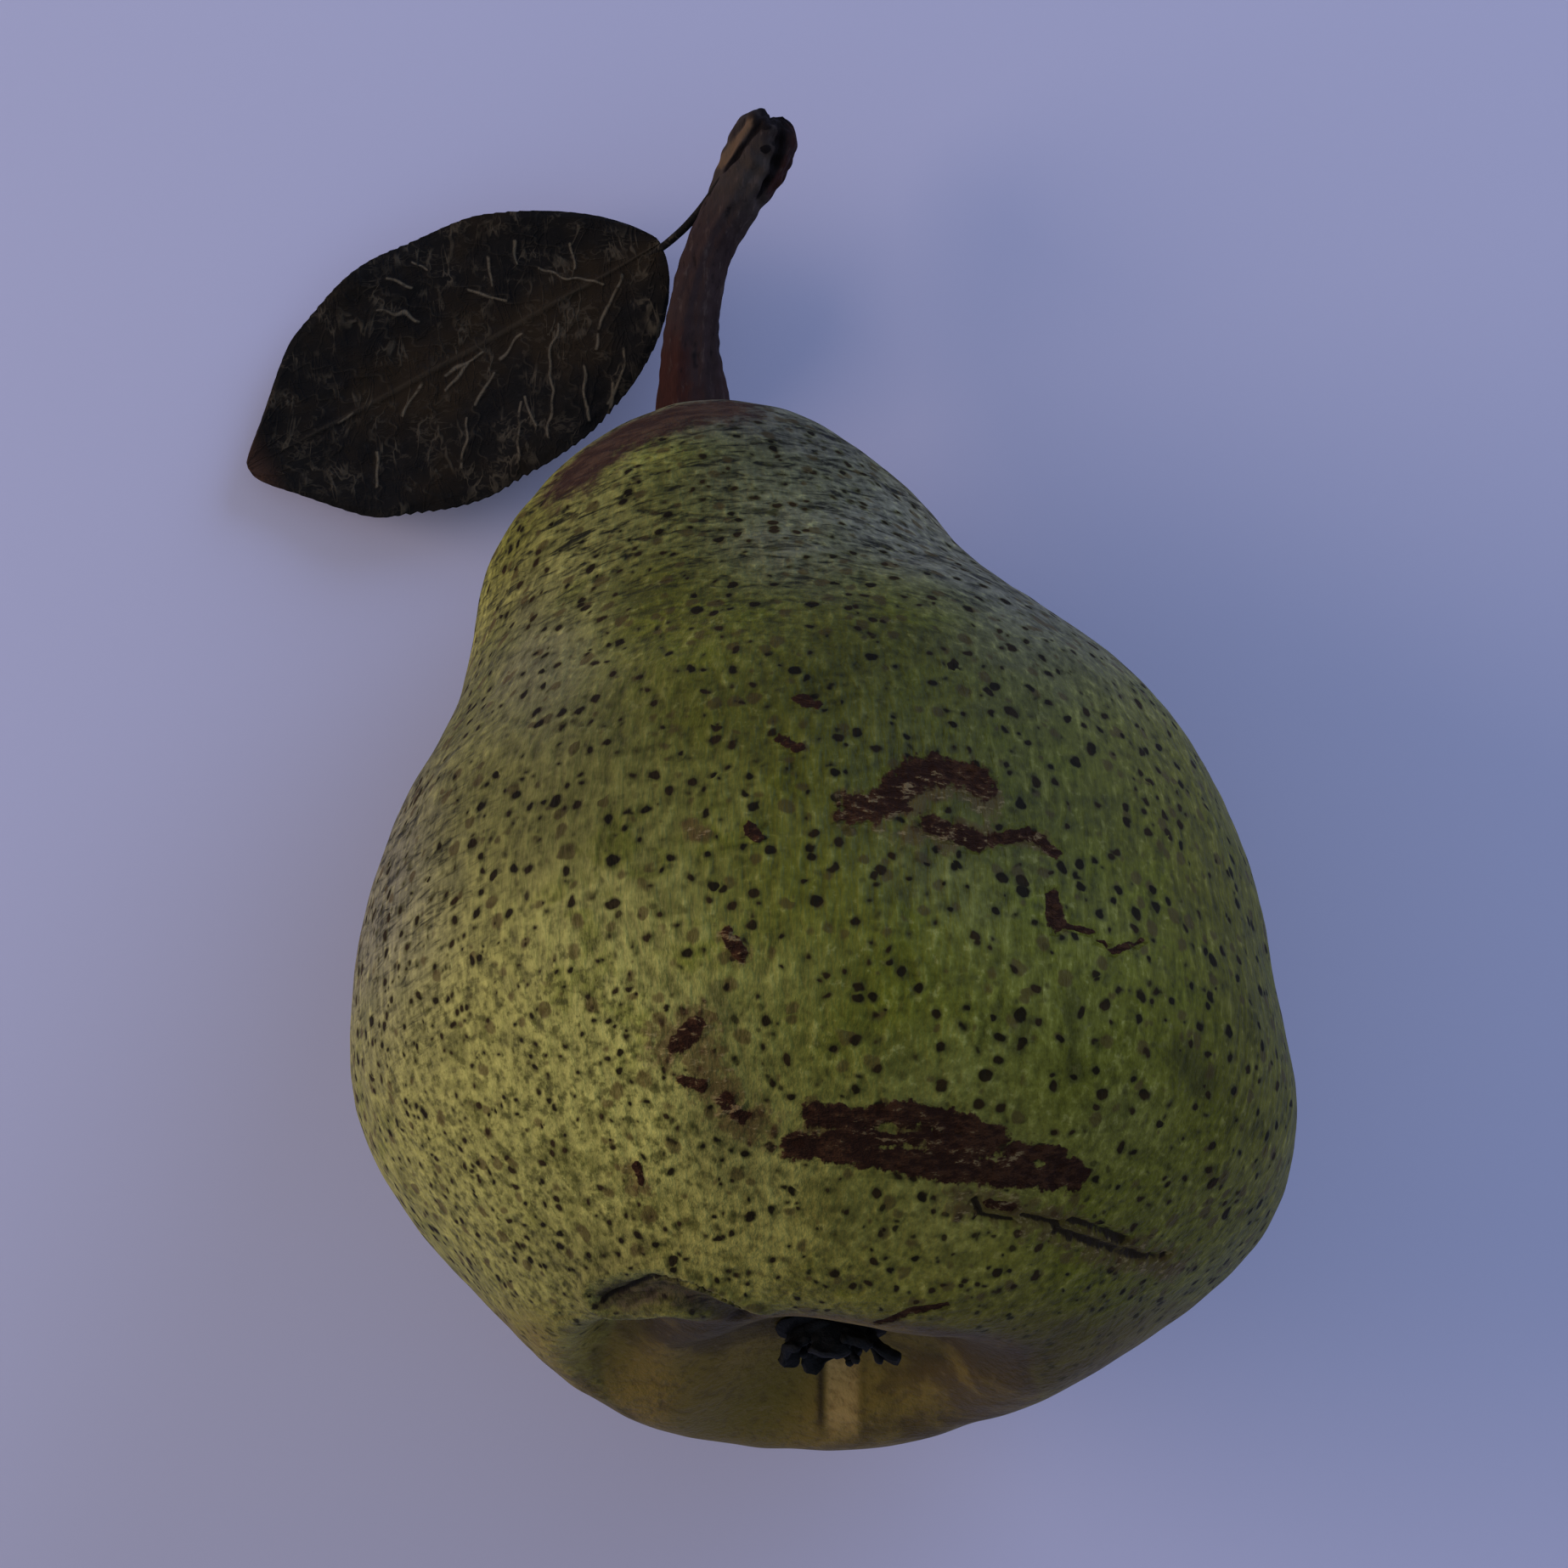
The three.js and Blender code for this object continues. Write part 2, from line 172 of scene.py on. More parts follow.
# How much a point's height counts, in millimetres, when a mark is laid on the skin from above.
HEIGHT_PULL = 0.03
CREASE = (1.9, ((-15.2, -24.2), (-13.2, -23.3), (-11.2, -23.2), (-8.6, -24.0), (-5.6, -25.2)))
WAIST = (3.0, ((-28.5, 20.6), (-20.5, 23.3), (-13.1, 27.1), (-5.4, 30.6), (2.5, 32.2), (11, 35.8)))
BLUSH = (5.4, ((-8.5, 48.5), (-11.5, 47.8), (-14.8, 46.6), (-17.6, 44.8), (-19.6, 42.8)))
# Soft patches that are darker, or lighter where the last value is negative: place in plan, half
# widths, and how many times the brightness halves. They are partly the skin's own darker and
# lighter patches and partly painted shade and painted light: shade in the waist, in the neck's
# middle and on the basin's far wall, and lighter edges.
SHADE_AND_TONE_PATCHES = (
    (-13.7, 37.5, 6.5, 6, 0.9), (2.8, 25.8, 8, 6, 0.8), (-17.8, 18.3, 8.5, 6.5, 0.75),
    (-6.8, 30.6, 7, 4, 0.35), (9, 14.9, 13, 6, 0.5), (-6.8, -10.8, 3, 5.5, 0.7),
    (-16.4, -21.5, 6.5, 3.2, 0.8), (32, -2.3, 5, 15, 0.4), (-36, -2.3, 4, 14, -0.1),
    (23.3, -27, 8, 4, 0.4), (-4, 20.3, 10, 4, 0.3), (-22, 12, 5.5, 5, 0.3), (13, -1, 10, 5, -0.25),
    (15.8, -19, 5, 3.5, -0.3), (-27.5, 30.6, 3, 7, -0.35), (-21.9, -29.7, 4, 3, -0.4),
    (-22, -8, 5, 8, 0.1), (8, -23, 6, 3, -0.2), (5, 46, 5, 3.5, 0.35), (-4, 44, 5, 4, 0.6),
    (-16, 10.5, 12, 5.5, 0.45), (12, 12, 12, 6, 0.2), (21, 4, 8, 7, 0.05), (4, 23, 14, 5, 0.2),
    (-20, -7.5, 9, 7, -0.2), (-26, 12, 6, 6, 0.2), (-12.6, -9, 3, 9, -0.25), (-19, 38, 5, 6, 0.3),
    (-12.5, 31, 4, 4, 0.3), (15, 22, 6, 5, 0.25), (-20, -31, 6, 4, -0.8), (14, -30, 6, 4, 0.4),
    (-9, 47.5, 7, 2.5, 0.4), (-8, -26.6, 7, 1.4, 0.9), (14, -27, 8, 1.5, 0.3), (-24, 34, 4, 6, 0.3),
)
# Sizes of the skin's patterns, in millimetres.
BROAD_PATCHES = 15
PATCHES = 5
STREAKS = 0.75
GRAIN = 0.8
WRINKLES = 1.1
FRAY = 1.5
GRIT = 0.55
# Pores and spots: the cells that they are scattered in, and how far the largest reaches in its cell.
PORES = (1.5, 0.26)
FINE_PORES = (1.2, 0.19)
SPOTS = (1.9, 0.34)
# How far the outlines of pores and spots waver, and how finely.
PORE_WAVER = 1.1
WAVER_SCALE = 700.0
# How far the rim of the basin is drawn in on its left, and where.
NOTCH_DEPTH = 4.3
NOTCH_ANGLE = 163
NOTCH_SPREAD = 22
# Where the basin's rim is, as a share of the outline's run.
BASIN_RIM = 0.222

# The stem, in the grown frame.
STEM_PATH = (
    (-10.2, 82.3, 4.5), (-10.5, 88, 5.3), (-10.6, 94, 6.3), (-9.3, 101, 7.4), (-6.9, 106.4, 8.2),
    (-4.7, 111, 9), (-3.7, 114.6, 9.6),
)
STEM_WAIST = 2.2
STEM_FOOT_SWELL = 1.3
STEM_END_SWELL = 0.85

# The leaf and its stalk, in the lying frame.
STALK_PATH = (
    (-6.9, 72.4, 13.6), (-7.8, 71.5, 15.3), (-8.9, 70.0, 15.2), (-10.2, 68.6, 13.9),
    (-11.9, 67.2, 12.2), (-14.1, 65.9, 10.4), (-17.4, 64.5, 9.2), (-23.1, 61.8, 7.6),
)
STALK_RADIUS = 0.42
STALK_GRID = (160, 24)
LEAF_BASE = np.array((-13.6, 66.6, 10.5))
LEAF_TIP = np.array((-51.7, 47.4, 2.5))
LEAF_THICKNESS = 0.6
LEAF_SAG = 1.3
LEAF_FOLD = 1.1
LEAF_WAVE = 0.6
LEAF_RIB = 0.3
LEAF_TEETH = 42
# Widest half width, how fast it swells at the base and narrows at the tip, and the teeth's depth.
OUTER_HALF = (11.2, 0.78, 0.75, 0.07)
INNER_HALF = (12.6, 0.55, 0.60, 0.16)
# Pale veins, half as wide as this, seen from above in the lying frame.
VEIN_HALF = 0.30
VEINS = (
    ((-24.7, 64.8), (-21.8, 63.8), (-18.8, 63.4)), ((-31.3, 63.1), (-27.7, 62.1)),
    ((-39.7, 61.4), (-37.4, 61.2), (-35.9, 60.5)), ((-36.4, 65.8), (-35.0, 65.0)),
    ((-38.7, 64.3), (-36.4, 63.7)), ((-29.5, 66.0), (-29.1, 63.5)), ((-27.0, 67.3), (-26.6, 65.3)),
    ((-21.7, 66.8), (-21.3, 64.8)), ((-17.0, 63.7), (-18.6, 61.0), (-19.8, 57.4)),
    ((-22.9, 59.7), (-24.0, 56.9), (-23.4, 53.8), (-23.8, 49.5)),
    ((-20.5, 55.9), (-20.6, 52.3), (-20.1, 51.0)), ((-17.9, 54.3), (-18.3, 51.5)),
    ((-16.9, 57.2), (-17.3, 54.6), (-18.4, 52.6)), ((-26.1, 53.3), (-24.9, 50.5)),
    ((-26.4, 52.8), (-26.6, 47.4)), ((-26.4, 59.1), (-28.2, 56.9)), ((-29.7, 57.6), (-33.3, 55.6)),
    ((-31.3, 56.6), (-33.3, 54.1)), ((-35.5, 54.9), (-37.4, 52.0)), ((-29.0, 55.6), (-30.5, 52.8)),
    ((-31.3, 51.8), (-31.6, 48.4), (-32.0, 46.9)), ((-39.7, 48.4), (-39.8, 45.4)),
    ((-42.0, 52.3), (-43.3, 51.4)),
)

# The calyx, in the grown frame.
CALYX_TOP = 4.7
CALYX_RADIUS = 4.4
# Each sepal: angle round the disc, length, outward lean and half width at the root.
SEPALS = (
    (8, 3.7, 0.70, 1.3), (52, 3.2, 0.4, 1.5), (95, 4.2, 0.1, 2.0), (150, 3.4, 0.35, 2.2),
    (196, 3.2, 0.45, 1.6), (243, 3.5, 0.25, 1.3), (306, 2.2, 0.15, 1.4),
)
SEPAL_THICKNESS = 0.7
SEPAL_ROOT = 0.9
STAMEN_COUNT = 14
# Rings and points on each ring, of the calyx's disc and of one sepal and one stamen.
DISC_GRID = (24, 72)
SEPAL_GRID = (44, 48)
STAMEN_GRID = (28, 10)

# The stage, in metres: half the floor, and each light's place, width and colour.
FLOOR_HALF = 1.5
LIGHT_TARGET = Vector((0, 0.02, 0.03))
KEY_LIGHT = ((-0.85, 0.10, 0.30), 0.6, (1.0, 0.79, 0.64))
BACK_LIGHT = ((0.60, 0.70, 0.40), 0.7, (0.44, 0.59, 1.0))
SKY_RAMP = ((0.15, (0.88, 1.0, 1.25, 1)), (0.85, (0.58, 0.72, 0.94, 1)))

# The camera.
ELEVATION = math.radians(86.5)
VIEW_ANGLE = math.radians(24)
CAMERA_TARGET = Vector((-2.5, 16.7, 30))
CAMERA_DISTANCE = 309.4


def smooth_step(low, high, value):
    """0 below low, 1 above high, and the cubic 3t^2 - 2t^3 between them."""
    share = np.clip((value - low) / (high - low), 0, 1)
    return share * share * (3 - 2 * share)


def bell(value, middle, width):
    """A bump of height 1: e to the minus square of the distance from middle over width."""
    return np.exp(-(((value - middle) / width) ** 2))


def spline(points, share):
    """Uniform Catmull-Rom curve through the points, whose ends are doubled, at each share of its run."""
    knots = np.asarray(points, float)
    last = len(knots) - 1
    run = np.clip(np.asarray(share, float), 0, 1) * last
    index = np.minimum(run.astype(int), last - 1)
    t = (run - index)[..., None]
    before = knots[np.maximum(index - 1, 0)]
    start = knots[index]
    end = knots[index + 1]
    after = knots[np.minimum(index + 2, last)]
    slope_start = (end - before) / 2
    slope_end = (after - start) / 2
    cubic = (2 * start - 2 * end + slope_start + slope_end) * t**3
    square = (-3 * start + 3 * end - 2 * slope_start - slope_end) * t**2
    return cubic + square + slope_start * t + start


def unit(vectors):
    """Each vector divided by its length."""
    return vectors / np.maximum(np.linalg.norm(vectors, axis=-1, keepdims=True), 1 / FAR)


def ring_grid(rows, columns):
    """Share along and angle round, for each point of a grid of rings."""
    share = np.linspace(0, 1, rows)[:, None] + np.zeros(columns)
    angle = np.linspace(0, TAU, columns, endpoint=False) + np.zeros((rows, 1))
    return share, angle


def ripple(points, size, seed, waves=9):
    """Soft unevenness from about -1 to 1: the mean of sine waves of seeded directions and phases,
    with wavelengths round the given size."""
    draw = np.random.default_rng(seed)
    directions = unit(draw.normal(size=(waves, 3)))
    lengths = size * draw.uniform(0.7, 1.6, waves)
    phases = draw.uniform(0, TAU, waves)
    return np.sin(points @ (TAU * directions / lengths[:, None]).T + phases).mean(-1) * 2


def to_lying(points):
    """Turns points of the grown frame about +X by the tilt, neck down, into the lying frame."""
    along = points[..., 1] - REST_ALONG
    up = points[..., 2] + REST_DROP
    y = along * math.cos(TILT) + up * math.sin(TILT)
    z = -along * math.sin(TILT) + up * math.cos(TILT)
    return np.stack((points[..., 0], y, z), -1)


def turned(angles):
    """Unit vectors round the fruit's axis: 0 is +X and a quarter turn is up."""
    return np.stack((np.cos(angles), 0 * angles, np.sin(angles)), -1)


def ring_normals(points):
    """Outward unit normals of a grid of rings: the cross product of its two central differences."""
    round_step = np.roll(points, -1, 1) - np.roll(points, 1, 1)
    along_step = np.gradient(points, axis=0)
    return unit(np.cross(along_step, round_step))


def line_distance(points, corners):
    """Distance of each point from the nearest straight stretch between the corners."""
    nearest = np.full(points.shape[:-1], FAR)
    for start, end in zip(corners, corners[1:]):
        run = end - start
        share = np.clip((points - start) @ run / (run @ run), 0, 1)
        nearest = np.minimum(nearest, np.linalg.norm(points - start - share[..., None] * run, axis=-1))
    return nearest


def stroke_field(points, top, mark):
    """How far inside a mark each point is: 1 on its line, 0 at its edge, and falling to -1.

    The mark's line is laid on the skin by taking the point nearest to each of its corners in plan,
    the higher one of two as near, and distances to its straight stretches are taken in space."""
    width, line = mark
    upper = top.reshape(-1, 3)
    corners = []
    for x, y in line:
        away = (upper[:, 0] - x) ** 2 + (upper[:, 1] - y) ** 2 - HEIGHT_PULL * upper[:, 2]
        corners.append(upper[np.argmin(away)])
    return np.clip(1 - line_distance(points, corners) / width, -1, 1)


def marks_field(points, top, marks):
    """The furthest inside that each point is in any of the marks."""
    return np.max([stroke_field(points, top, mark) for mark in marks], axis=0)


def put_mesh(name, rings, fields=None):
    """Makes a closed mesh from a grid of rings, with both ends drawn together into a point.

    fields are named values on the same grid, which become vertex attributes."""
    rows, columns = rings.shape[:2]
    ends = np.stack((rings[0].mean(0), rings[-1].mean(0)))
    inner = rings[1:-1]
    points = np.concatenate((inner.reshape(-1, 3), ends)) * MM
    grid = np.arange((rows - 2) * columns).reshape(rows - 2, columns)
    beside = np.roll(grid, -1, 1)
    quads = np.stack((grid[:-1], beside[:-1], beside[1:], grid[1:]), -1).reshape(-1, 4)
    first, last = len(points) - 2, len(points) - 1
    start_fan = np.stack((beside[0], grid[0], np.full(columns, first)), -1)
    end_fan = np.stack((grid[-1], beside[-1], np.full(columns, last)), -1)
    corners = np.concatenate((quads.ravel(), start_fan.ravel(), end_fan.ravel()))
    sizes = np.concatenate((np.full(len(quads), 4), np.full(2 * columns, 3)))
    fan = points[quads[:, [0, 1, 2]]]
    rest = points[quads[:, [0, 2, 3]]]
    volume = sum(np.einsum("ij,ij->i", t[:, 0], np.cross(t[:, 1], t[:, 2])).sum() for t in (fan, rest))
    if volume < 0:
        starts = np.concatenate(((0,), np.cumsum(sizes)[:-1]))
        ends_at = np.cumsum(sizes)
        order = np.repeat(starts + ends_at - 1, sizes) - np.arange(len(corners))
        corners = corners[order]
    mesh = bpy.data.meshes.new(name)
    mesh.vertices.add(len(points))
    mesh.vertices.foreach_set("co", points.ravel())
    mesh.loops.add(len(corners))
    mesh.loops.foreach_set("vertex_index", corners)
    mesh.polygons.add(len(sizes))
    mesh.polygons.foreach_set("loop_start", np.concatenate(((0,), np.cumsum(sizes)[:-1])))
    mesh.polygons.foreach_set("loop_total", sizes)
    mesh.polygons.foreach_set("use_smooth", np.ones(len(sizes), bool))
    mesh.update(calc_edges=True)
    mesh.validate()
    for field, values in (fields or {}).items():
        layer = mesh.attributes.new(field, "FLOAT", "POINT")
        spread = np.concatenate((values[1:-1].ravel(), (values[0].mean(), values[-1].mean())))
        layer.data.foreach_set("value", spread.astype(np.float32))
    piece = bpy.data.objects.new(name, mesh)
    bpy.context.scene.collection.objects.link(piece)
    return piece


def join_pieces(name, pieces):
    """Puts the meshes of several pieces into the first one."""
    with bpy.context.temp_override(active_object=pieces[0], selected_editable_objects=pieces):
        bpy.ops.object.join()
    pieces[0].name = name
    pieces[0].data.name = name
    return pieces[0]


class Recipe:
    """Builds one material's nodes. A socket given as a value is linked, and a number is set."""

    def __init__(self, name):
        self.material = bpy.data.materials.new(name)
        self.material.use_nodes = True
        self.tree = self.material.node_tree
        self.tree.nodes.clear()

    def node(self, kind, values=None, **settings):
        """A shader node with its settings and its inputs' values."""
        made = self.tree.nodes.new("ShaderNode" + kind)
        for key, setting in settings.items():
            setattr(made, key, setting)
        for key, value in (values or {}).items():
            self.give(made.inputs[key], value)
        return made

    def give(self, socket, value):
        """Links a value to a socket, or sets a number or a colour on it."""
        if isinstance(value, bpy.types.NodeSocket):
            self.tree.links.new(value, socket)
        elif socket.type == "RGBA":
            socket.default_value = (*value, 1)[:4]
        else:
            socket.default_value = value

    def vector(self, kind, values, **settings):
        return self.node(kind, values, **settings).outputs["Vector"]

    def field(self, name):
        """A vertex attribute's value."""
        return self.node("Attribute", attribute_name=name).outputs["Fac"]

    def placed(self, turn=0, stretch=(1, 1, 1)):
        """Object coordinates, turned about X and divided by the stretch."""
        where = self.node("TexCoord").outputs["Object"]
        scale = tuple(1 / part for part in stretch)
        turned_first = self.vector("Mapping", {"Vector": where, "Rotation": (turn, 0, 0)})
        return self.vector("Mapping", {"Vector": turned_first, "Scale": scale})

    def noise(self, where, size, detail, rough, distortion=0):
        """Soft patches of about a size in millimetres, from 0 to 1 round a mean of a half."""
        values = {"Vector": where, "Scale": 1 / (size * MM), "Detail": detail, "Roughness": rough}
        values["Distortion"] = distortion
        return self.node("TexNoise", values).outputs["Fac"]

    def cells(self, where, size):
        """Scattered cells: the distance from each one's middle, and its own random colour."""
        cell = self.node("TexVoronoi", {"Vector": where, "Scale": 1 / (size * MM)})
        return cell.outputs["Distance"], self.node("SeparateColor", {"Color": cell.outputs["Color"]})

    def step(self, value, low, high):
        """0 at low and 1 at high, eased."""
        values = {"Value": value, "From Min": low, "From Max": high}
        return self.node("MapRange", values, interpolation_type="SMOOTHSTEP").outputs["Result"]

    def math(self, operation, *terms):
        made = self.node("Math", operation=operation)
        for socket, term in zip(made.inputs, terms):
            self.give(socket, term)
        return made.outputs["Value"]

    def total(self, *terms):
        return reduce(lambda so_far, term: self.math("ADD", so_far, term), terms)

    def times(self, *terms):
        return reduce(lambda so_far, term: self.math("MULTIPLY", so_far, term), terms)

    def centred(self, value):
        """A noise's value less its mean."""
        return self.math("SUBTRACT", value, 0.5)

    def mix(self, share, first, second, blend="MIX"):
        """The first colour, blended into the second by the share."""
        made = self.node("Mix", data_type="RGBA", blend_type=blend, clamp_factor=True)
        for socket, value in ((0, share), (6, first), (7, second)):
            self.give(made.inputs[socket], value)
        return made.outputs[2]

    def lay(self, colour, shade_and_tone, *shares):
        """The colour with a tone over it, as strong as the product of the shares."""
        return self.mix(self.times(*shares), colour, shade_and_tone)

    def bump(self, height, distance):
        """A normal bent by a height from 0 to 1, which stands for a distance in millimetres."""
        return self.node("Bump", {"Height": height, "Distance": distance * MM}).outputs["Normal"]

    def finish(self, **values):
        """The material, with its surface's values named with underscores for spaces."""
        shader = self.node("BsdfPrincipled", {key.replace("_", " "): value for key, value in values.items()})
        output = self.node("OutputMaterial")
        self.tree.links.new(shader.outputs["BSDF"], output.inputs["Surface"])
        return self.material


def round_bell(angle, middle, spread):
    """A bump of height 1 round the axis: e to the cosine of the angle from the middle, less 1, over
    the square of the spread. middle and spread are in degrees."""
    return np.exp((np.cos(angle - math.radians(middle)) - 1) / math.radians(spread) ** 2)


def basin_sway(along):
    """How far the basin end is shifted to the right."""
    return BASIN_SWAY * bell(along, 12, 11)


def fruit_rings(rows, columns):
    """The fruit's skin in the lying frame, as rings round its axis, with its share and angle grids.

    Each ring is the outline's point turned round the axis. It is pushed out by the lumps, each a bell
    along the axis and round it, waved by five ribs round the basin and by a lip on its lower side,
    raised in a mound at the stem's foot, drawn in by a notch at the basin's rim, and shifted sideways
    by the sway and the neck's lean."""
    share, angle = ring_grid(rows, columns)
    outline = spline(OUTLINE, share)
    along = outline[..., 0] * FRUIT_LENGTH
    out = outline[..., 1] * FRUIT_HALF_WIDTH
    firm = smooth_step(2, 14, out)
    radius = out.copy()
    for place, middle, length, spread, height in LUMPS:
        radius += firm * height * bell(along, place, length) * round_bell(angle, middle, spread)
    ribs = np.cos(RIB_COUNT * angle + 0.6) * bell(out, 12.5, 6)
    lip = bell(out, 20, 9) * round_bell(angle, -90, 40)
    lean = basin_sway(along) - NECK_LEAN * smooth_step(50, 74, along)
    x = radius * np.cos(angle) + lean
    up = FRUIT_DEPTH * radius * np.sin(angle)
    foot_x, foot_along, foot_up = STEM_PATH[1]
    mound = bell(np.hypot(x - foot_x, up - foot_up), 0, FOOT_SPREAD) * bell(along, foot_along, 8)
    basin = (RIB_HEIGHT * ribs + LIP_HEIGHT * lip) * firm * (1 - smooth_step(8, 20, along))
    notch = NOTCH_DEPTH * round_bell(angle, NOTCH_ANGLE, NOTCH_SPREAD) * bell(share, BASIN_RIM, 0.045)
    grown = np.stack((x, along - basin + FOOT_MOUND * mound + notch, up), -1)
    return to_lying(grown), share, angle


def fruit_fields(points, share, angle):
    """The fields that the skin's colours and relief follow, from the marks and from the place."""
    top = points[:, : points.shape[1] // 2]
    x, y = points[..., 0], points[..., 1]
    normals = ring_normals(points)
    leftward = -normals[..., 0]
    rise = np.sin(angle)
    upper = smooth_step(-0.3, 0.5, rise)
    uneven = ripple(points, 16, 5)
    left_belly = bell(x, -23, 16) * bell(y, -4, 19)
    low_belly = bell(x, -8, 20) * bell(y, -17, 8)
    neck_side = bell(x, -19, 7) * bell(y, 38, 12)
    ripe = left_belly + 0.65 * low_belly + 0.6 * neck_side + 0.15 * uneven
    waver = 0.006 * ripple(points, 9, 8)
    under = smooth_step(0.2, -0.4, rise)
    in_basin = 1 - smooth_step(0.20, 0.245, share + waver - 0.03 * under)
    fine = smooth_step(0.55, 0.25, share) * 0.6 + bell(x, -22, 13) * bell(y, -8, 15) * upper
    # Grey on the neck, the shoulders and the left flank: partly the skin's waxy coat, partly painted sheen
    # of reflected light.
    bloom_and_sheen = smooth_step(-14, -2, x) * smooth_step(27, 36, y) * (0.75 + 0.25 * uneven)
    bloom_and_sheen += smooth_step(0.15, 0.5, -leftward) * bell(y, 31, 8) * 0.9
    bloom_and_sheen += 0.6 * bell(x, -22, 5) * bell(y, 25, 7) + 0.7 * smooth_step(43, 48, y)
    bloom_and_sheen += smooth_step(0.60, 0.92, leftward) * bell(y, 8, 13) * 1.1
    # Painted shade and painted light, partly the skin's own darker and lighter patches.
    shade_and_tone = sum(depth * bell(x, px, wide) * bell(y, py, high) for px, py, wide, high, depth in SHADE_AND_TONE_PATCHES)
    shade_and_tone *= smooth_step(-0.2, 0.3, rise)
    brown = 0.8 * smooth_step(-2, -24, y) * smooth_step(-24, 0, x) * smooth_step(34, 10, x)
    brown += 0.6 * smooth_step(0.45, 0.9, -leftward)
    neck = smooth_step(22, 36, y) + 0.8 * smooth_step(0.5, 0.85, leftward) * bell(y, 10, 16)
    degrees = np.degrees(angle)
    low_wall = smooth_step(-0.2, -0.6, rise) * smooth_step(-26, -29, y) * smooth_step(-37.8, -34.6, y)
    cork = marks_field(points, top, CORK_MARKS)
    return {
        "cork": cork,
        "crack": marks_field(points, top, CRACKS),
        "tan": marks_field(points, top, TAN_MARKS),
        "bruise": marks_field(points, top, BRUISES),
        "crease": stroke_field(points, top, CREASE),
        "waist": stroke_field(points, top, WAIST),
        "blush": stroke_field(points, top, BLUSH),
        "ripe": np.clip(ripe, 0, 1),
        "basin": in_basin,
        "basin_green": smooth_step(270, 250, degrees) * smooth_step(200, 235, degrees),
        "rib": smooth_step(0.7, 1.2, x) * smooth_step(3.8, 3.1, x) * low_wall,
        # Painted shadow: a dark line along the rib's left side, and a faint one on its right.
        "rib_shade": np.maximum(bell(x, 0.45, 0.32), 0.25 * bell(x, 3.9, 0.4)) * low_wall,
        "near": smooth_step(-23.0, -29.0, y),
        # Darker towards the right of the basin, and a painted shadow on the basin's wall under the crease.
        "basin_dark_and_shadow": smooth_step(2.0, 12.0, x) + 1.6 * bell(x, -9, 6) * bell(y, -26.8, 1.8),
        "rim": bell(share + waver, BASIN_RIM, 0.018) * smooth_step(0.0, 0.5, rise),
        "fine": np.clip(fine, 0.34, 1),
        "bloom_and_sheen": np.clip(bloom_and_sheen, 0, 1) * (1 - in_basin),
        "neck": np.clip(neck, 0, 1),
        "cork_relief": smooth_step(-0.1, 0.4, cork),
        "shade_and_tone": np.clip(0.5 + 0.4 * shade_and_tone, 0, 1),
        "brown": np.clip(brown, 0, 1),
        "hoop": y + 0.012 * (x + 4) ** 2,
    }


def fruit_relief(points, fields):
    """How far each point of the skin stands out: corky scars a little sunken with rough faces, the
    crease and the waist as grooves, and soft unevenness all over."""
    cork = smooth_step(-0.1, 0.5, fields["cork"])
    rough = ripple(points, 1.6, 21) * 0.5 + ripple(points, 3.1, 22) * 0.5
    relief = cork * (0.10 * rough - 0.16)
    relief += 0.05 * smooth_step(-0.2, 0.4, fields["tan"]) * (1 - cork) * (1 + rough)
    relief -= 0.55 * smooth_step(0.0, 0.8, fields["crack"])
    relief -= 0.75 * smooth_step(0.0, 0.9, fields["crease"])
    relief += 0.35 * bell(fields["crease"], -0.35, 0.3) * (1 - fields["basin"])
    relief -= 0.30 * smooth_step(-0.9, 1.0, fields["waist"])
    relief += 0.13 * ripple(points, 13, 31) + 0.07 * ripple(points, 5.5, 32) + 0.03 * ripple(points, 2.8, 33)
    return relief


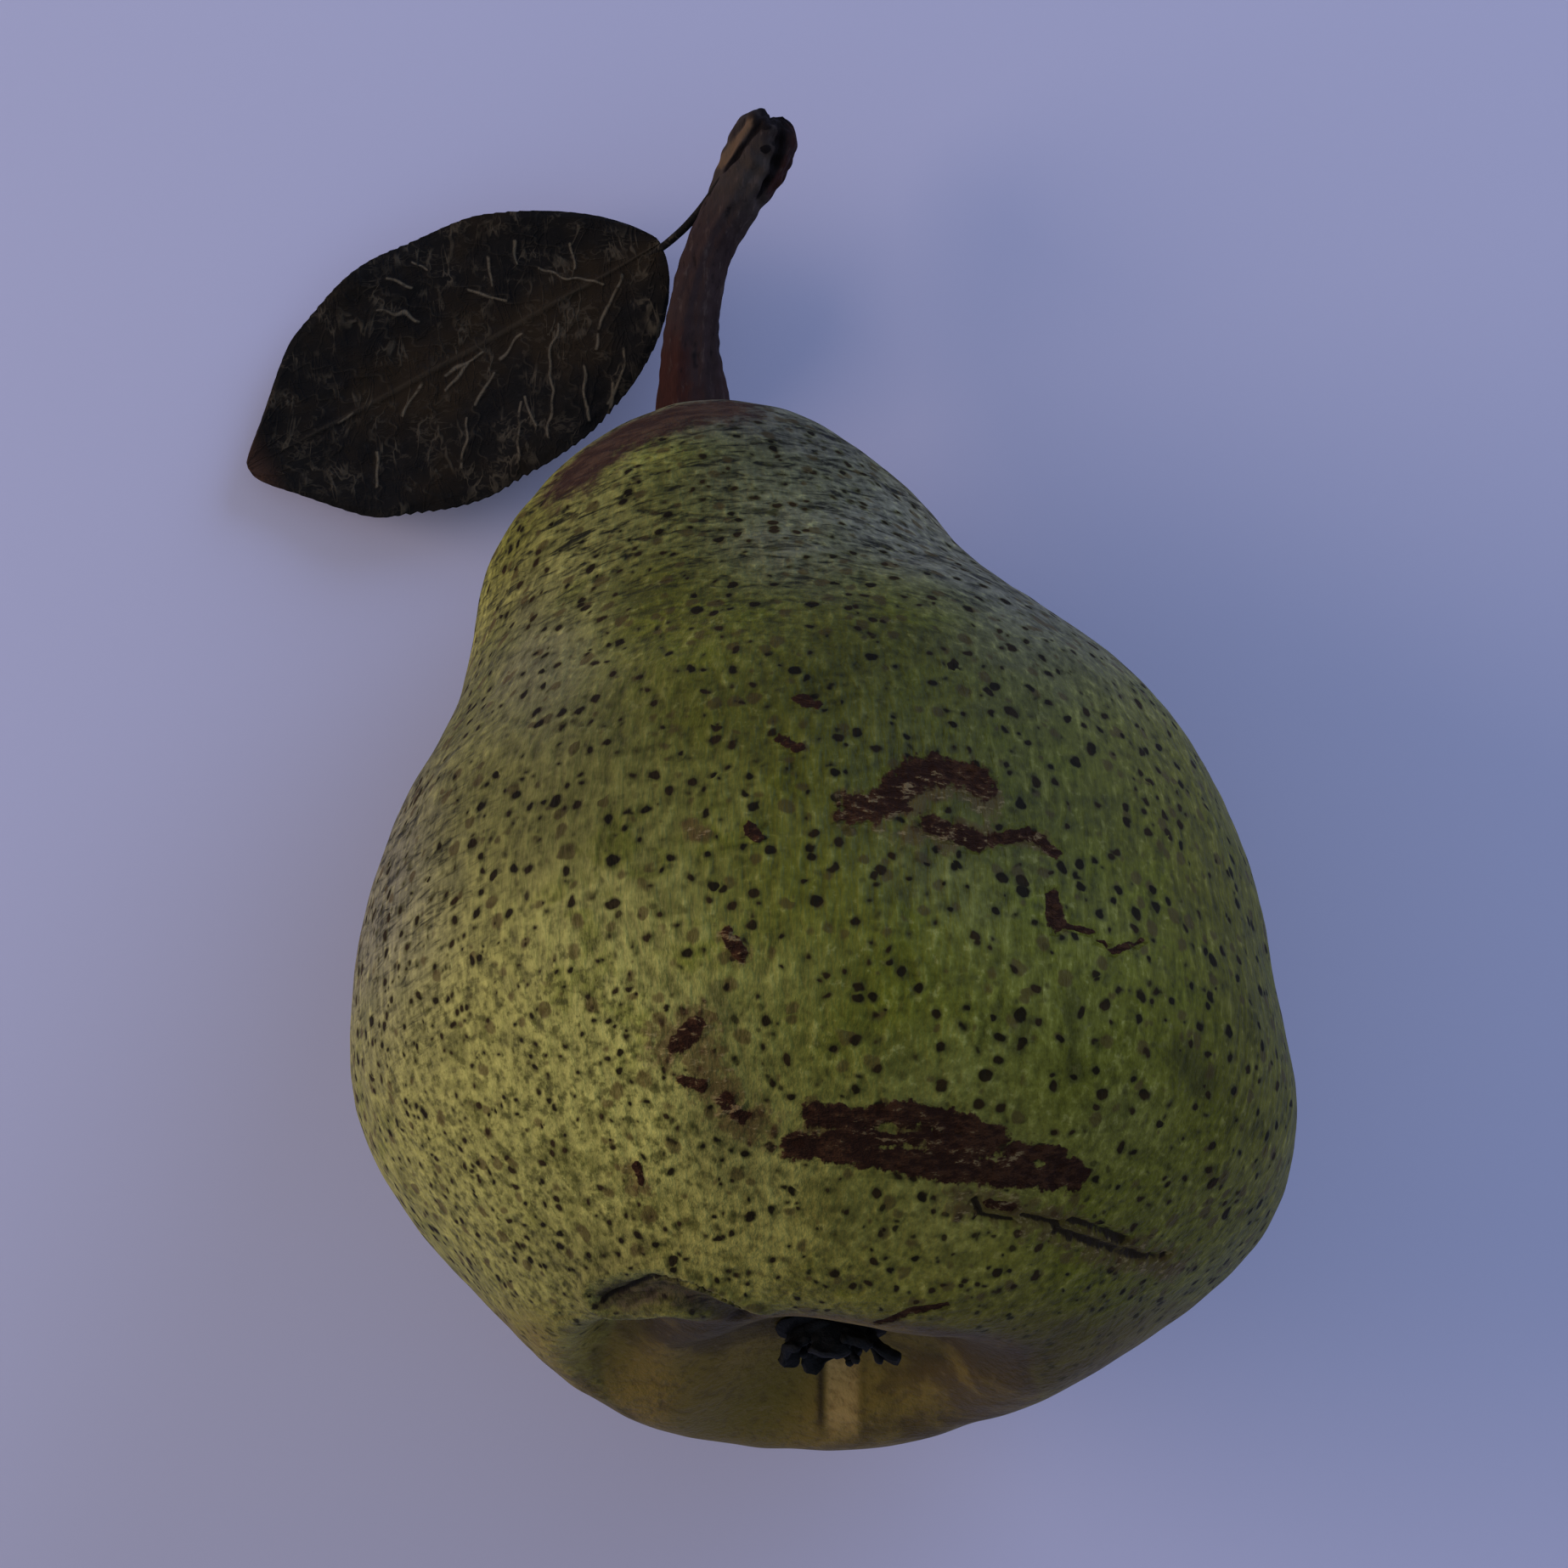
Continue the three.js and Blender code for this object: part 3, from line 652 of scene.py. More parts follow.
def skin_finish(look):
    """Waxed skin: olive green ripening to yellow, with streaks and puckers along the axis, wrinkles
    round the neck, dark pores and soft brown spots, corky scars, grey on the shoulders that is partly a
    waxy coat and partly painted sheen, a red-brown blush at the stem and a smooth brown basin with one
    tan rib. Painted shade and highlight lie along the fine relief, painted shade in the wrinkles'
    grooves and the dent of the crease, painted shade and light in soft patches, and painted shadow
    beside the rib and under the crease."""
    r = Recipe("pear_skin")
    grown = r.placed(turn=TILT)
    shift = r.node("TexNoise", {"Vector": grown, "Scale": WAVER_SCALE, "Detail": 2.0}).outputs["Color"]
    centred = r.vector("VectorMath", {0: shift, 1: (-0.5, -0.5, -0.5)}, operation="ADD")
    small = r.vector("VectorMath", {0: centred, "Scale": PORE_WAVER * MM}, operation="SCALE")
    bent = r.vector("VectorMath", {0: grown, 1: small}, operation="ADD")
    parts = r.node("SeparateXYZ", {"Vector": grown}).outputs
    hoop = r.times(r.field("hoop"), MM)
    hoops = r.vector("CombineXYZ", {"X": parts["X"], "Y": hoop, "Z": parts["Z"]})
    hooped = r.vector("Mapping", {"Vector": hoops, "Scale": (0.40, 1.9, 0.40)})
    streaked = r.placed(turn=TILT, stretch=(1, 4, 1))
    broad = r.noise(grown, BROAD_PATCHES, 2, 0.55)
    patch = r.noise(grown, PATCHES, 3, 0.6, 0.5)
    streak = r.noise(streaked, STREAKS, 3, 0.62)
    grain = r.noise(grown, GRAIN, 3, 0.6)
    wrinkle = r.noise(hooped, WRINKLES, 3, 0.65, 0.6)

    ripe = r.step(r.total(r.field("ripe"), r.times(broad, 0.5), r.times(patch, 0.45)), 0.40, 1.25)
    colour = r.mix(ripe, look.green, look.yellow)
    colour = r.lay(colour, look.moss, r.step(patch, 0.50, 0.68), 0.6)
    colour = r.lay(colour, look.lime, r.step(broad, 0.52, 0.40), r.step(patch, 0.52, 0.36), 0.5)
    # Grey on the shoulders and the left flank: partly waxy coat, partly painted sheen.
    colour = r.lay(colour, look.bloom_and_sheen, r.field("bloom_and_sheen"), 0.85)
    neck = r.field("neck")
    colour = r.lay(colour, look.pale, r.step(streak, 0.54, 0.72), 0.22)
    colour = r.lay(colour, look.pale, r.step(grain, 0.58, 0.72), 0.35)
    mottle = r.times(r.step(grain, 0.52, 0.34), r.step(r.field("fine"), 0.4, 0.9), 0.6)
    colour = r.lay(colour, look.moss, mottle)
    bruise = r.step(r.total(r.field("bruise"), r.times(r.centred(grain), 3.0)), 0.0, 0.8)
    colour = r.lay(colour, look.wrinkle, bruise, 0.55)
    # Painted shade: dark lines in the grooves of the neck's wrinkles.
    lines = r.times(r.step(wrinkle, 0.48, 0.32), neck, 0.85)
    colour = r.lay(colour, look.wrinkle, lines)
    # Painted shade and painted highlight of the fine relief: lighter and darker along the raised streaks and
    # wrinkles, together with the skin's own grain and patches.
    wrinkled = r.times(r.centred(wrinkle), neck, 3.2)
    shade = r.total(r.times(streak, 1.9), r.times(grain, 1.2), patch, wrinkled, -1.05)
    shade = r.math("MAXIMUM", shade, 0.25)
    # Painted shade and painted light from the soft patches, as a brightness factor.
    dim = r.math("POWER", 2.0, r.times(r.math("SUBTRACT", 0.5, r.field("shade_and_tone")), 2.5))
    colour = r.mix(1.0, colour, shade, "MULTIPLY")
    colour = r.lay(colour, r.mix(1.0, colour, look.brown_tint, "MULTIPLY"), r.field("brown"), 0.8)

    in_basin = r.step(r.field("basin"), 0.3, 0.7)
    near = r.times(r.field("near"), r.step(r.total(patch, r.times(grain, 0.7)), 0.76, 0.98))
    colour = r.lay(colour, look.basin, r.field("near"), 0.55)
    colour = r.lay(colour, look.basin_dark, near, 0.65)
    open_skin = r.math("SUBTRACT", 1.0, r.math("MAXIMUM", in_basin, r.times(r.field("near"), 0.6)))
    pores = []
    smaller = r.total(1.18, r.times(r.field("fine"), -0.58), r.times(neck, -0.06))
    for (size, radius), shown, scale in ((PORES, None, smaller), (FINE_PORES, "fine", 1.0)):
        distance, chance = r.cells(bent, size)
        reach = r.times(r.total(r.times(chance.outputs["Red"], radius), 0.3 * radius), scale)
        inside = r.math("SUBTRACT", reach, distance)
        shown = r.times(open_skin, r.step(r.field(shown), 0.2, 0.6)) if shown else open_skin
        pores.append(r.times(r.step(inside, -0.05, 0.05), shown))
        rim = r.times(r.step(inside, -0.22, 0.02), shown, 0.7)
        colour = r.lay(colour, look.rim, rim)
    size, radius = SPOTS
    distance, chance = r.cells(bent, size)
    spot = r.step(r.math("SUBTRACT", r.times(chance.outputs["Green"], radius), distance), -0.10, 0.05)
    colour = r.lay(colour, look.rust, spot, open_skin, 0.75)
    pore = r.math("MAXIMUM", *pores)
    colour = r.lay(colour, r.mix(r.step(patch, 0.44, 0.60), look.pore, look.pore_brown), pore, 0.96)

    # The basin darker towards the right, with a painted shadow under the crease.
    basin_dark_and_shadow = r.total(patch, r.times(r.field("basin_dark_and_shadow"), 0.22), -0.06)
    basin_tone = r.mix(r.step(basin_dark_and_shadow, 0.46, 0.72), look.basin, look.basin_dark)
    basin_tone = r.lay(basin_tone, look.basin_green, r.field("basin_green"), 0.8)
    basin_tone = r.lay(basin_tone, look.tan, r.step(grain, 0.56, 0.72), 0.3)
    basin_tone = r.lay(basin_tone, look.basin_dark, r.step(streak, 0.50, 0.34), 0.5)
    rib_tone = r.mix(r.step(r.total(streak, patch), 0.80, 1.15), look.rib_shade, look.rib)
    basin_tone = r.lay(basin_tone, rib_tone, r.field("rib"))
    # Painted shadow along the rib's sides.
    basin_tone = r.lay(basin_tone, look.crack, r.field("rib_shade"), 0.85)
    colour = r.lay(colour, basin_tone, in_basin)
    # The painted shade and light of the soft patches, laid over all the colours above.
    colour = r.mix(1.0, colour, dim, "MULTIPLY")

    frayed = r.times(r.total(r.noise(grown, FRAY, 3, 0.68), r.times(streak, 0.8), -0.9), 2.4)
    grit = r.noise(r.placed(turn=TILT, stretch=(2.2, 1, 1)), GRIT, 3, 0.7)
    tan = r.step(r.total(r.field("tan"), frayed), 0.0, 0.7)
    tan_tone = r.mix(r.step(grit, 0.54, 0.66), look.russet, look.tan)
    colour = r.lay(colour, tan_tone, tan, 0.75)
    rim_line = r.step(r.total(r.field("rim"), r.times(frayed, 0.4)), 0.35, 0.9)
    colour = r.lay(colour, r.mix(r.step(wrinkle, 0.4, 0.6), look.crease, look.russet), rim_line, 0.5)
    cork = r.step(r.total(r.field("cork"), r.times(frayed, 0.7)), 0.0, 0.25)
    cork_tone = r.mix(r.step(r.total(grit, r.times(patch, 0.5)), 0.66, 0.86), look.cork, look.cork_light)
    worn = r.times(r.step(grit, 0.56, 0.66), r.step(r.field("tan"), -0.2, 0.5), 0.8)
    cork_tone = r.lay(cork_tone, look.tan, r.math("MAXIMUM", worn, r.times(r.step(grit, 0.64, 0.72), 0.5)))
    colour = r.lay(colour, cork_tone, cork)
    blush = r.step(r.total(r.field("blush"), r.times(frayed, 0.5)), -0.1, 0.6)
    blush_tone = r.mix(r.step(wrinkle, 0.42, 0.62), look.blush, look.blush_light)
    colour = r.lay(colour, blush_tone, blush)
    # Dry puckered skin in dark and grey-brown stripes, darkened with painted shade in its dent.
    crease = r.step(r.total(r.field("crease"), r.times(frayed, 0.4)), -0.1, 0.6)
    crease_tone = r.mix(r.step(wrinkle, 0.42, 0.58), look.crack, look.crease)
    colour = r.lay(colour, crease_tone, crease, 0.85)
    crack = r.step(r.total(r.field("crack"), r.times(frayed, 0.7)), 0.1, 0.5)
    colour = r.lay(colour, look.crack, crack, 0.9)

    height = r.total(
        r.times(streak, 0.55), r.times(wrinkle, neck, 0.8), r.times(grit, r.field("cork_relief"), 0.9),
    )
    normal = r.bump(height, look.skin_relief)
    duller = ((cork, 0.3), (streak, 0.12), (pore, 0.2), (neck, 0.25))
    roughness = r.total(look.skin_roughness, *(r.times(value, share) for value, share in duller))
    return r.finish(Base_Color=colour, Roughness=roughness, Normal=normal, Specular_IOR_Level=0.09)


def path_rings(path, rows, columns, radius, lift=None):
    """Rings along a smooth path in the lying frame. radius gives each ring's size, and lift how far
    it is pushed on along the path, from the share of the run and the angle. The angle is 0 at the
    path's right and a quarter turn on the side that faces up."""
    run = np.linspace(0, 1, PATH_STEPS)
    fine = spline(path, run)
    length = np.concatenate(((0,), np.cumsum(np.linalg.norm(np.diff(fine, axis=0), axis=1))))
    share = np.linspace(0, 1, rows)
    centre = spline(path, np.interp(share * length[-1], length, run))
    ahead = unit(np.gradient(centre, axis=0))
    side = unit(np.cross(ahead, NEARLY_UP))
    above = np.cross(side, ahead)
    shares, angles = ring_grid(rows, columns)
    size = radius(shares, angles)[..., None]
    rightward = np.cos(angles)[..., None] * side[:, None]
    upward = np.sin(angles)[..., None] * above[:, None]
    rings = centre[:, None] + size * (rightward + upward)
    if lift is not None:
        rings = rings + lift(shares, angles)[..., None] * ahead[:, None]
    return rings, shares, angles


def round_line(angle, middle, width):
    """A ridge of height 1 along a line round the stem: e to the cosine of the angle from it, less 1,
    over the width."""
    return np.exp((np.cos(angle - middle) - 1) / width)


def stem_lines(share, angle, width):
    """The deep crack of the swollen end, and the groove that carries the leaf's stalk on up the stem,
    both as ridges of height 1 that lean round it."""
    crack = round_line(angle, 0.80 + 1.9 * (share - 0.80), width)
    crack *= smooth_step(0.73, 0.79, share) * smooth_step(0.97, 0.93, share)
    groove = round_line(angle, 2.36 - 4.0 * (share - 0.80), 0.7 * width)
    groove *= smooth_step(0.76, 0.80, share) * smooth_step(0.97, 0.93, share)
    return crack, groove


def stem_radius(share, angle):
    """A waist, a flared foot and a swollen end, slightly oval, with a domed tip. Grooves run along
    it, and one deep crack and a notch part the end into two lobes."""
    swell = STEM_FOOT_SWELL * bell(share, 0, 0.25) + STEM_END_SWELL * bell(share, 0.9, 0.17)
    uneven = 1 + 0.05 * np.cos(2 * angle + 5 * share) + 0.03 * np.cos(3 * angle - 4 * share)
    close = np.clip((share - 0.93) / 0.07, 0, 1)
    body = (STEM_WAIST + swell) * uneven * np.sqrt(1 - 0.96 * close**2)
    twist = angle + 0.6 * share
    grooves = 0.05 * np.cos(9 * twist) + 0.04 * np.cos(14 * twist + 1 + 3 * share)
    grooves += 0.09 * smooth_step(0.72, 0.85, share) * np.cos(6 * angle + 9 * share)
    crack, groove = stem_lines(share, angle, 0.012)
    notch = round_line(angle, 0.95, 0.05) * smooth_step(0.93, 0.99, share)
    scar = round_line(angle, 1.46, 0.03) * bell(share, 0.27, 0.10)
    lip = round_line(angle, 0.35, 0.25) * bell(share, 0.755, 0.02)
    body += grooves * (1 - 0.5 * close)
    return body - 0.8 * crack - 0.4 * groove - 0.5 * notch - 0.2 * scar - 0.25 * lip


def stem_fields(share, angle, points):
    """Where the bark is black, tan and red: black in the crack, the groove, an old scar near the foot
    and over the broken, pitted end; tan beyond the groove; red at the foot's left and on the lobe."""
    rough = ripple(points, 1.5, 73)
    crack, groove = stem_lines(share, angle, 0.022)
    scar = round_line(angle, 1.46, 0.03) * bell(share, 0.27, 0.09) * (0.8 + 0.5 * rough)
    facing = round_line(angle, 1.5, 0.30)
    end = smooth_step(0.88, 0.965, share + 0.04 * rough) * (0.15 + 0.85 * facing)
    end = np.maximum(end, smooth_step(0.965, 1.0, share))
    pits = smooth_step(0.35, 0.75, ripple(points, 1.1, 74)) * smooth_step(0.80, 0.87, share) * facing
    strip = round_line(angle, 2.78 - 4.0 * (share - 0.80), 0.035)
    strip *= smooth_step(0.765, 0.82, share) * smooth_step(0.975, 0.92, share)
    lobe = round_line(angle, 0.2, 0.22) * smooth_step(0.76, 0.82, share)
    foot = smooth_step(0.42, 0.15, share) * (0.35 + 0.65 * smooth_step(0.2, -0.6, np.cos(angle)))
    dark = np.max([crack, groove, 0.6 * scar, end, 0.8 * pits], axis=0)
    return {"share": share, "dark": dark, "strip": strip, "red": np.clip(lobe + foot, 0, 1)}


def stem_lift(share, angle):
    """The broken end: two lobes stand on past a notch, and its face is ragged."""
    end = smooth_step(0.88, 1, share)
    ragged = 0.22 * np.cos(5 * angle + 1.1) + 0.16 * np.cos(11 * angle) + 0.12 * np.cos(17 * angle + 2)
    return end * (0.4 * np.cos(2 * angle + 0.8) + ragged)


def leaf_reach(share, half):
    """Half the blade's width: a share's power times its rest's power, with uneven forward teeth."""
    width, swell, taper, depth = half
    peak = swell / (swell + taper)
    full = (share / peak) ** swell * ((1 - share) / (1 - peak)) ** taper
    phase = (share * LEAF_TEETH) % 1.0
    tooth = np.where(phase < 0.75, phase / 0.75, (1 - phase) / 0.25)
    uneven = 1 + 0.5 * np.sin(29 * share) + 0.4 * np.sin(53 * share + 1)
    pointed = 1 - 0.36 * smooth_step(0.78, 1.0, share)
    return LEAF_RIB + (width - depth * uneven * (1 - tooth) + 0.10 * np.sin(24 * share)) * full * pointed


def leaf_fields(share, across, points):
    """Fields of the blade: pale veins near their strokes, taken in plan on the upper face, and faint
    side veins that leave the midrib in turn on each side and bend towards the tip."""
    side = np.abs(across)
    bend = np.where(across > 0, 0.16, 0.26)
    wobble = 0.012 * np.sin(23 * share + 5 * across) + 0.01 * np.sin(41 * across + 9 * share)
    phase = ((share - bend * side**0.8 - wobble) * 9 + np.where(across > 0, 0.25, 0.7)) % 1.0
    faint = np.exp(-((np.minimum(phase, 1 - phase) / 0.04) ** 2)) * smooth_step(0.02, 0.1, side)
    plan = points[..., :2] + 0.22 * np.stack((ripple(points, 2.4, 43), ripple(points, 2.1, 44)), -1)
    nearest = np.min([line_distance(plan, np.array(line)) for line in VEINS], axis=0)
    midrib = np.exp(-((across / 0.03) ** 2)) * smooth_step(1.02, 0.8, share)
    return {
        "vein": np.clip(1 - nearest / VEIN_HALF, 0, 1),
        "faint": faint * smooth_step(1.0, 0.8, side),
        "midrib": midrib,
        "tip": smooth_step(0.93, 1.0, share),
        "warm": bell(across, 0.05, 0.35) * smooth_step(1.0, 0.6, share),
    }


def two_faces(rows, upper, under):
    """Grids of a flat closed piece: the share along, the place across, out over the upper face and
    back under the lower one, and which face it is, 1 or -1."""
    share = np.linspace(0, 1, rows)[:, None] + np.zeros(len(upper) + len(under))
    across = np.concatenate((upper, under)) + 0 * share
    face = np.concatenate((np.ones(len(upper)), -np.ones(len(under)))) + 0 * share
    return share, across, face


def leaf_rings(rows, columns, under_columns):
    """The blade as flat rings: out over its upper face and back under its plainer lower one.

    The middle line runs from base to tip and sags, the halves fold up, the margins wave, and the
    upper face is wrinkled between its raised veins."""
    share, across, face = two_faces(rows, np.linspace(1, -1, columns), np.linspace(-1, 1, under_columns))
    forward = unit((LEAF_TIP - LEAF_BASE) * (1, 1, 0))
    aside = np.array((-forward[1], forward[0], 0))
    reach = np.where(across > 0, leaf_reach(share, INNER_HALF), leaf_reach(share, OUTER_HALF))
    rings = LEAF_BASE + share[..., None] * (LEAF_TIP - LEAF_BASE)
    rings = rings + (across * reach)[..., None] * aside
    fields = leaf_fields(share, across, rings)
    fold = LEAF_FOLD * np.abs(across) ** 1.5
    wave = LEAF_WAVE * across**2 * np.sin(15 * share + 2 * across)
    wrinkle = 0.16 * ripple(rings, 6, 41) + 0.045 * ripple(rings, 1.9, 42)
    raised = 0.10 * fields["vein"] + 0.07 * fields["faint"] + 0.16 * fields["midrib"]
    wide = np.sin(math.pi * share)
    edge = 1 - 0.75 * smooth_step(0.9, 1.0, np.abs(across))
    thick = LEAF_THICKNESS / 2 * edge
    lift = (fold + wave - LEAF_SAG) * wide + face * thick + wrinkle + raised * edge
    rings[..., 2] += lift
    return rings, fields


def sepal_rings(sepal, rows, columns):
    """A sepal in the lying frame: it rises out of the basin floor, leans out and curls back at its
    tip, cupped across and crumpled."""
    middle, length, lean, width = sepal
    half = columns // 2
    fan = np.cos(np.linspace(0, math.pi, half))
    share, across, face = two_faces(rows, fan, -fan)
    radial = turned(np.array(math.radians(middle)))
    outward = np.array((0.0, -1.0, 0.0))
    aside = np.cross(outward, radial)
    out = 2.9 + length * lean * share**2
    whole = length + SEPAL_ROOT
    rise = whole * (share - 0.25 * share**2) - SEPAL_ROOT
    out_slope = (2 * length * lean * share)[..., None]
    rise_slope = (whole * (1 - 0.5 * share))[..., None]
    normal = unit(out_slope * outward - rise_slope * radial)
    ragged = 1 + 0.28 * np.sin(8 * share + middle) + 0.15 * np.sin(19 * share + 2 * middle + 3 * across)
    reach = width * (1 - share) ** 0.55 * (1 + 0.3 * share) * ragged + 0.3
    edge = 1 - 0.6 * smooth_step(0.85, 1.0, np.abs(across))
    rings = out[..., None] * radial + rise[..., None] * outward + (across * reach)[..., None] * aside
    crumple = 0.4 * share * ripple(rings, 2.6, 50 + middle) + 0.12 * ripple(rings, 1.1, 51 + middle)
    thick = 0.35 * across**2 * reach + face * SEPAL_THICKNESS / 2 * edge + crumple
    rings = rings + thick[..., None] * normal
    return to_lying(rings + calyx_middle())


def calyx_middle():
    """The middle of the calyx disc's top in the grown frame."""
    return np.array((basin_sway(CALYX_TOP), CALYX_TOP, 0.0))


def stamen_rings(index, rows, columns):
    """A dried stamen: a bent thread with a knobbed end, on a spiral round the disc's middle."""
    angle = 2.4 * index
    out = 0.75 * math.sqrt(index)
    foot = np.array((out * math.cos(angle), 0.8, out * math.sin(angle)))
    tip = np.array((1.5 * foot[0], -1.4 - 0.18 * (index % 7), 1.5 * foot[2]))
    bend = (foot + tip) / 2 + np.array((0.4 * math.sin(3 * angle), 0, 0.4 * math.cos(3 * angle)))
    path = to_lying(np.stack((foot, bend, tip)) + calyx_middle())

    def radius(share, angle):
        return (0.22 + 0.2 * bell(share, 0.9, 0.12)) * np.sqrt(np.clip(1 - share**12, 0.02, 1))

    return path_rings(path, rows, columns, radius)[0]


def disc_rings(rows, columns):
    """The calyx disc: a low rough dome in the basin floor."""
    share, angle = ring_grid(rows, columns)
    out = CALYX_RADIUS * np.sin(math.pi * share) ** 0.6 * np.where(share < 0.5, 1, 0.96)
    rise = -0.45 * np.cos(math.pi * share)
    rings = out[..., None] * turned(angle) - np.stack((0 * rise, rise - 0.1, 0 * rise), -1)
    rings = rings + 0.12 * ripple(rings, 1.7, 61)[..., None] * np.array((0, 1, 0))
    return to_lying(rings + calyx_middle())


def stem_finish(look):
    """Woody bark: red-brown at the foot, olive grey in the middle, grey-brown at the swollen end,
    with dark streaks along it and a tan strip beyond the groove."""
    r = Recipe("stem_bark")
    where = r.placed(turn=TILT, stretch=(1, 4.5, 1))
    fine = r.noise(where, 0.7, 4, 0.65)
    broad = r.noise(where, 2.2, 3, 0.6)
    blotch = r.noise(r.placed(turn=TILT, stretch=(1, 2, 1)), 2.6, 3, 0.65)
    share = r.field("share")
    colour = r.mix(r.step(share, 0.58, 0.8), look.stem_middle, look.stem_end)
    red = r.step(r.total(r.field("red"), r.times(r.centred(blotch), 1.2)), 0.05, 0.75)
    colour = r.lay(colour, look.stem_foot, red)
    colour = r.lay(colour, look.stem_dark, r.step(broad, 0.45, 0.7), 0.6)
    colour = r.lay(colour, look.stem_light, r.step(fine, 0.55, 0.75), 0.60)
    colour = r.lay(colour, look.stem_black, r.step(fine, 0.44, 0.28), 0.70)
    strip = r.step(r.total(r.field("strip"), r.centred(fine)), 0.25, 0.8)
    colour = r.lay(colour, look.stem_tan, strip, 0.9)
    frayed = r.total(r.field("dark"), r.times(r.centred(fine), 0.9))
    colour = r.lay(colour, look.stem_black, r.step(frayed, 0.25, 0.65), 0.95)
    height = r.total(r.times(fine, 0.7), r.times(broad, 0.5))
    normal = r.bump(height, 0.3)
    return r.finish(Base_Color=colour, Roughness=0.75, Normal=normal, Specular_IOR_Level=0.05)


def leaf_finish(look):
    """A dried leaf: nearly black, browner along the midrib and scorched at the tip, with thin tan
    veins and fainter broken ridges between them, which follow a noise's middle value."""
    r = Recipe("dry_leaf")
    where = r.placed()
    broad = r.noise(where, 6, 3, 0.6)
    fine = r.noise(where, 0.7, 3, 0.65)
    ridges = r.noise(r.placed(stretch=(1, 2.4, 1)), 2.1, 3, 0.6, 0.5)
    ridge = r.step(r.math("ABSOLUTE", r.centred(ridges)), 0.04, 0.005)
    small_ridges = r.noise(r.placed(stretch=(2.0, 1, 1)), 1.2, 3, 0.6, 0.4)
    small_ridge = r.step(r.math("ABSOLUTE", r.centred(small_ridges)), 0.045, 0.0)
    warm = r.step(r.total(broad, r.times(r.field("warm"), 0.3)), 0.45, 0.85)
    colour = r.mix(warm, look.leaf_dark, look.leaf_brown)
    # Grey on the raised fine grain: partly the leaf's dry coat, partly painted sheen on its wrinkles.
    colour = r.lay(colour, look.leaf_grey_and_sheen, r.step(fine, 0.52, 0.78), 0.5)
    patchy = r.step(r.noise(where, 3.2, 2, 0.6), 0.44, 0.66)
    lines = r.times(r.math("MAXIMUM", ridge, r.times(small_ridge, 0.5)), patchy, 0.45)
    broken = r.step(r.noise(where, 1.1, 2, 0.6), 0.24, 0.5)
    lines = r.math("MAXIMUM", lines, r.times(r.step(r.field("faint"), 0.5, 0.95), broken, 0.14))
    lines = r.math("MAXIMUM", lines, r.times(r.step(r.field("midrib"), 0.4, 0.95), 0.12))
    veins = r.math("MAXIMUM", r.times(r.step(r.field("vein"), 0.35, 0.95), broken), lines)
    colour = r.lay(colour, look.vein, veins)
    colour = r.lay(colour, look.leaf_tip, r.field("tip"), 0.6)
    height = r.total(r.times(fine, 0.5), r.times(ridge, 0.35), r.times(small_ridge, 0.2))
    normal = r.bump(height, 0.12)
    return r.finish(Base_Color=colour, Roughness=0.8, Normal=normal, Specular_IOR_Level=0.06)


def calyx_finish(look):
    """Black, brittle dried sepals with brown worn edges."""
    r = Recipe("dry_calyx")
    fine = r.noise(r.placed(), 0.5, 4, 0.7)
    colour = r.mix(r.step(fine, 0.52, 0.75), look.calyx_black, look.calyx_brown)
    return r.finish(Base_Color=colour, Roughness=0.7, Normal=r.bump(fine, 0.2), Specular_IOR_Level=0.2)


def floor_finish(look):
    """Matt pale paper with a barely seen grain."""
    r = Recipe("floor_paper")
    grain = r.noise(r.placed(), 0.9, 2, 0.6)
    colour = r.mix(r.times(grain, 0.06), look.floor, look.floor_grain)
    return r.finish(Base_Color=colour, Roughness=0.9, Specular_IOR_Level=0.1)


def dress(piece, material, node):
    """Gives a piece its material, puts it under the root body and hides the solid that it stands for."""
    piece.data.materials.clear()
    piece.data.materials.append(material)
    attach(piece, "root")
    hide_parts(node)


def tint(name, description, value):
    """A colour that the user can change."""
    return FloatVectorProperty(
        name=name, description=description, default=value, subtype="COLOR", min=0, max=1
    )


def count(name, description, value, least):
    """A whole number that the user can change."""
    return IntProperty(name=name, description=description, default=value, min=least)


def amount(name, description, value, **limits):
    """A measure that the user can change."""
    return FloatProperty(name=name, description=description, default=value, min=0, **limits)


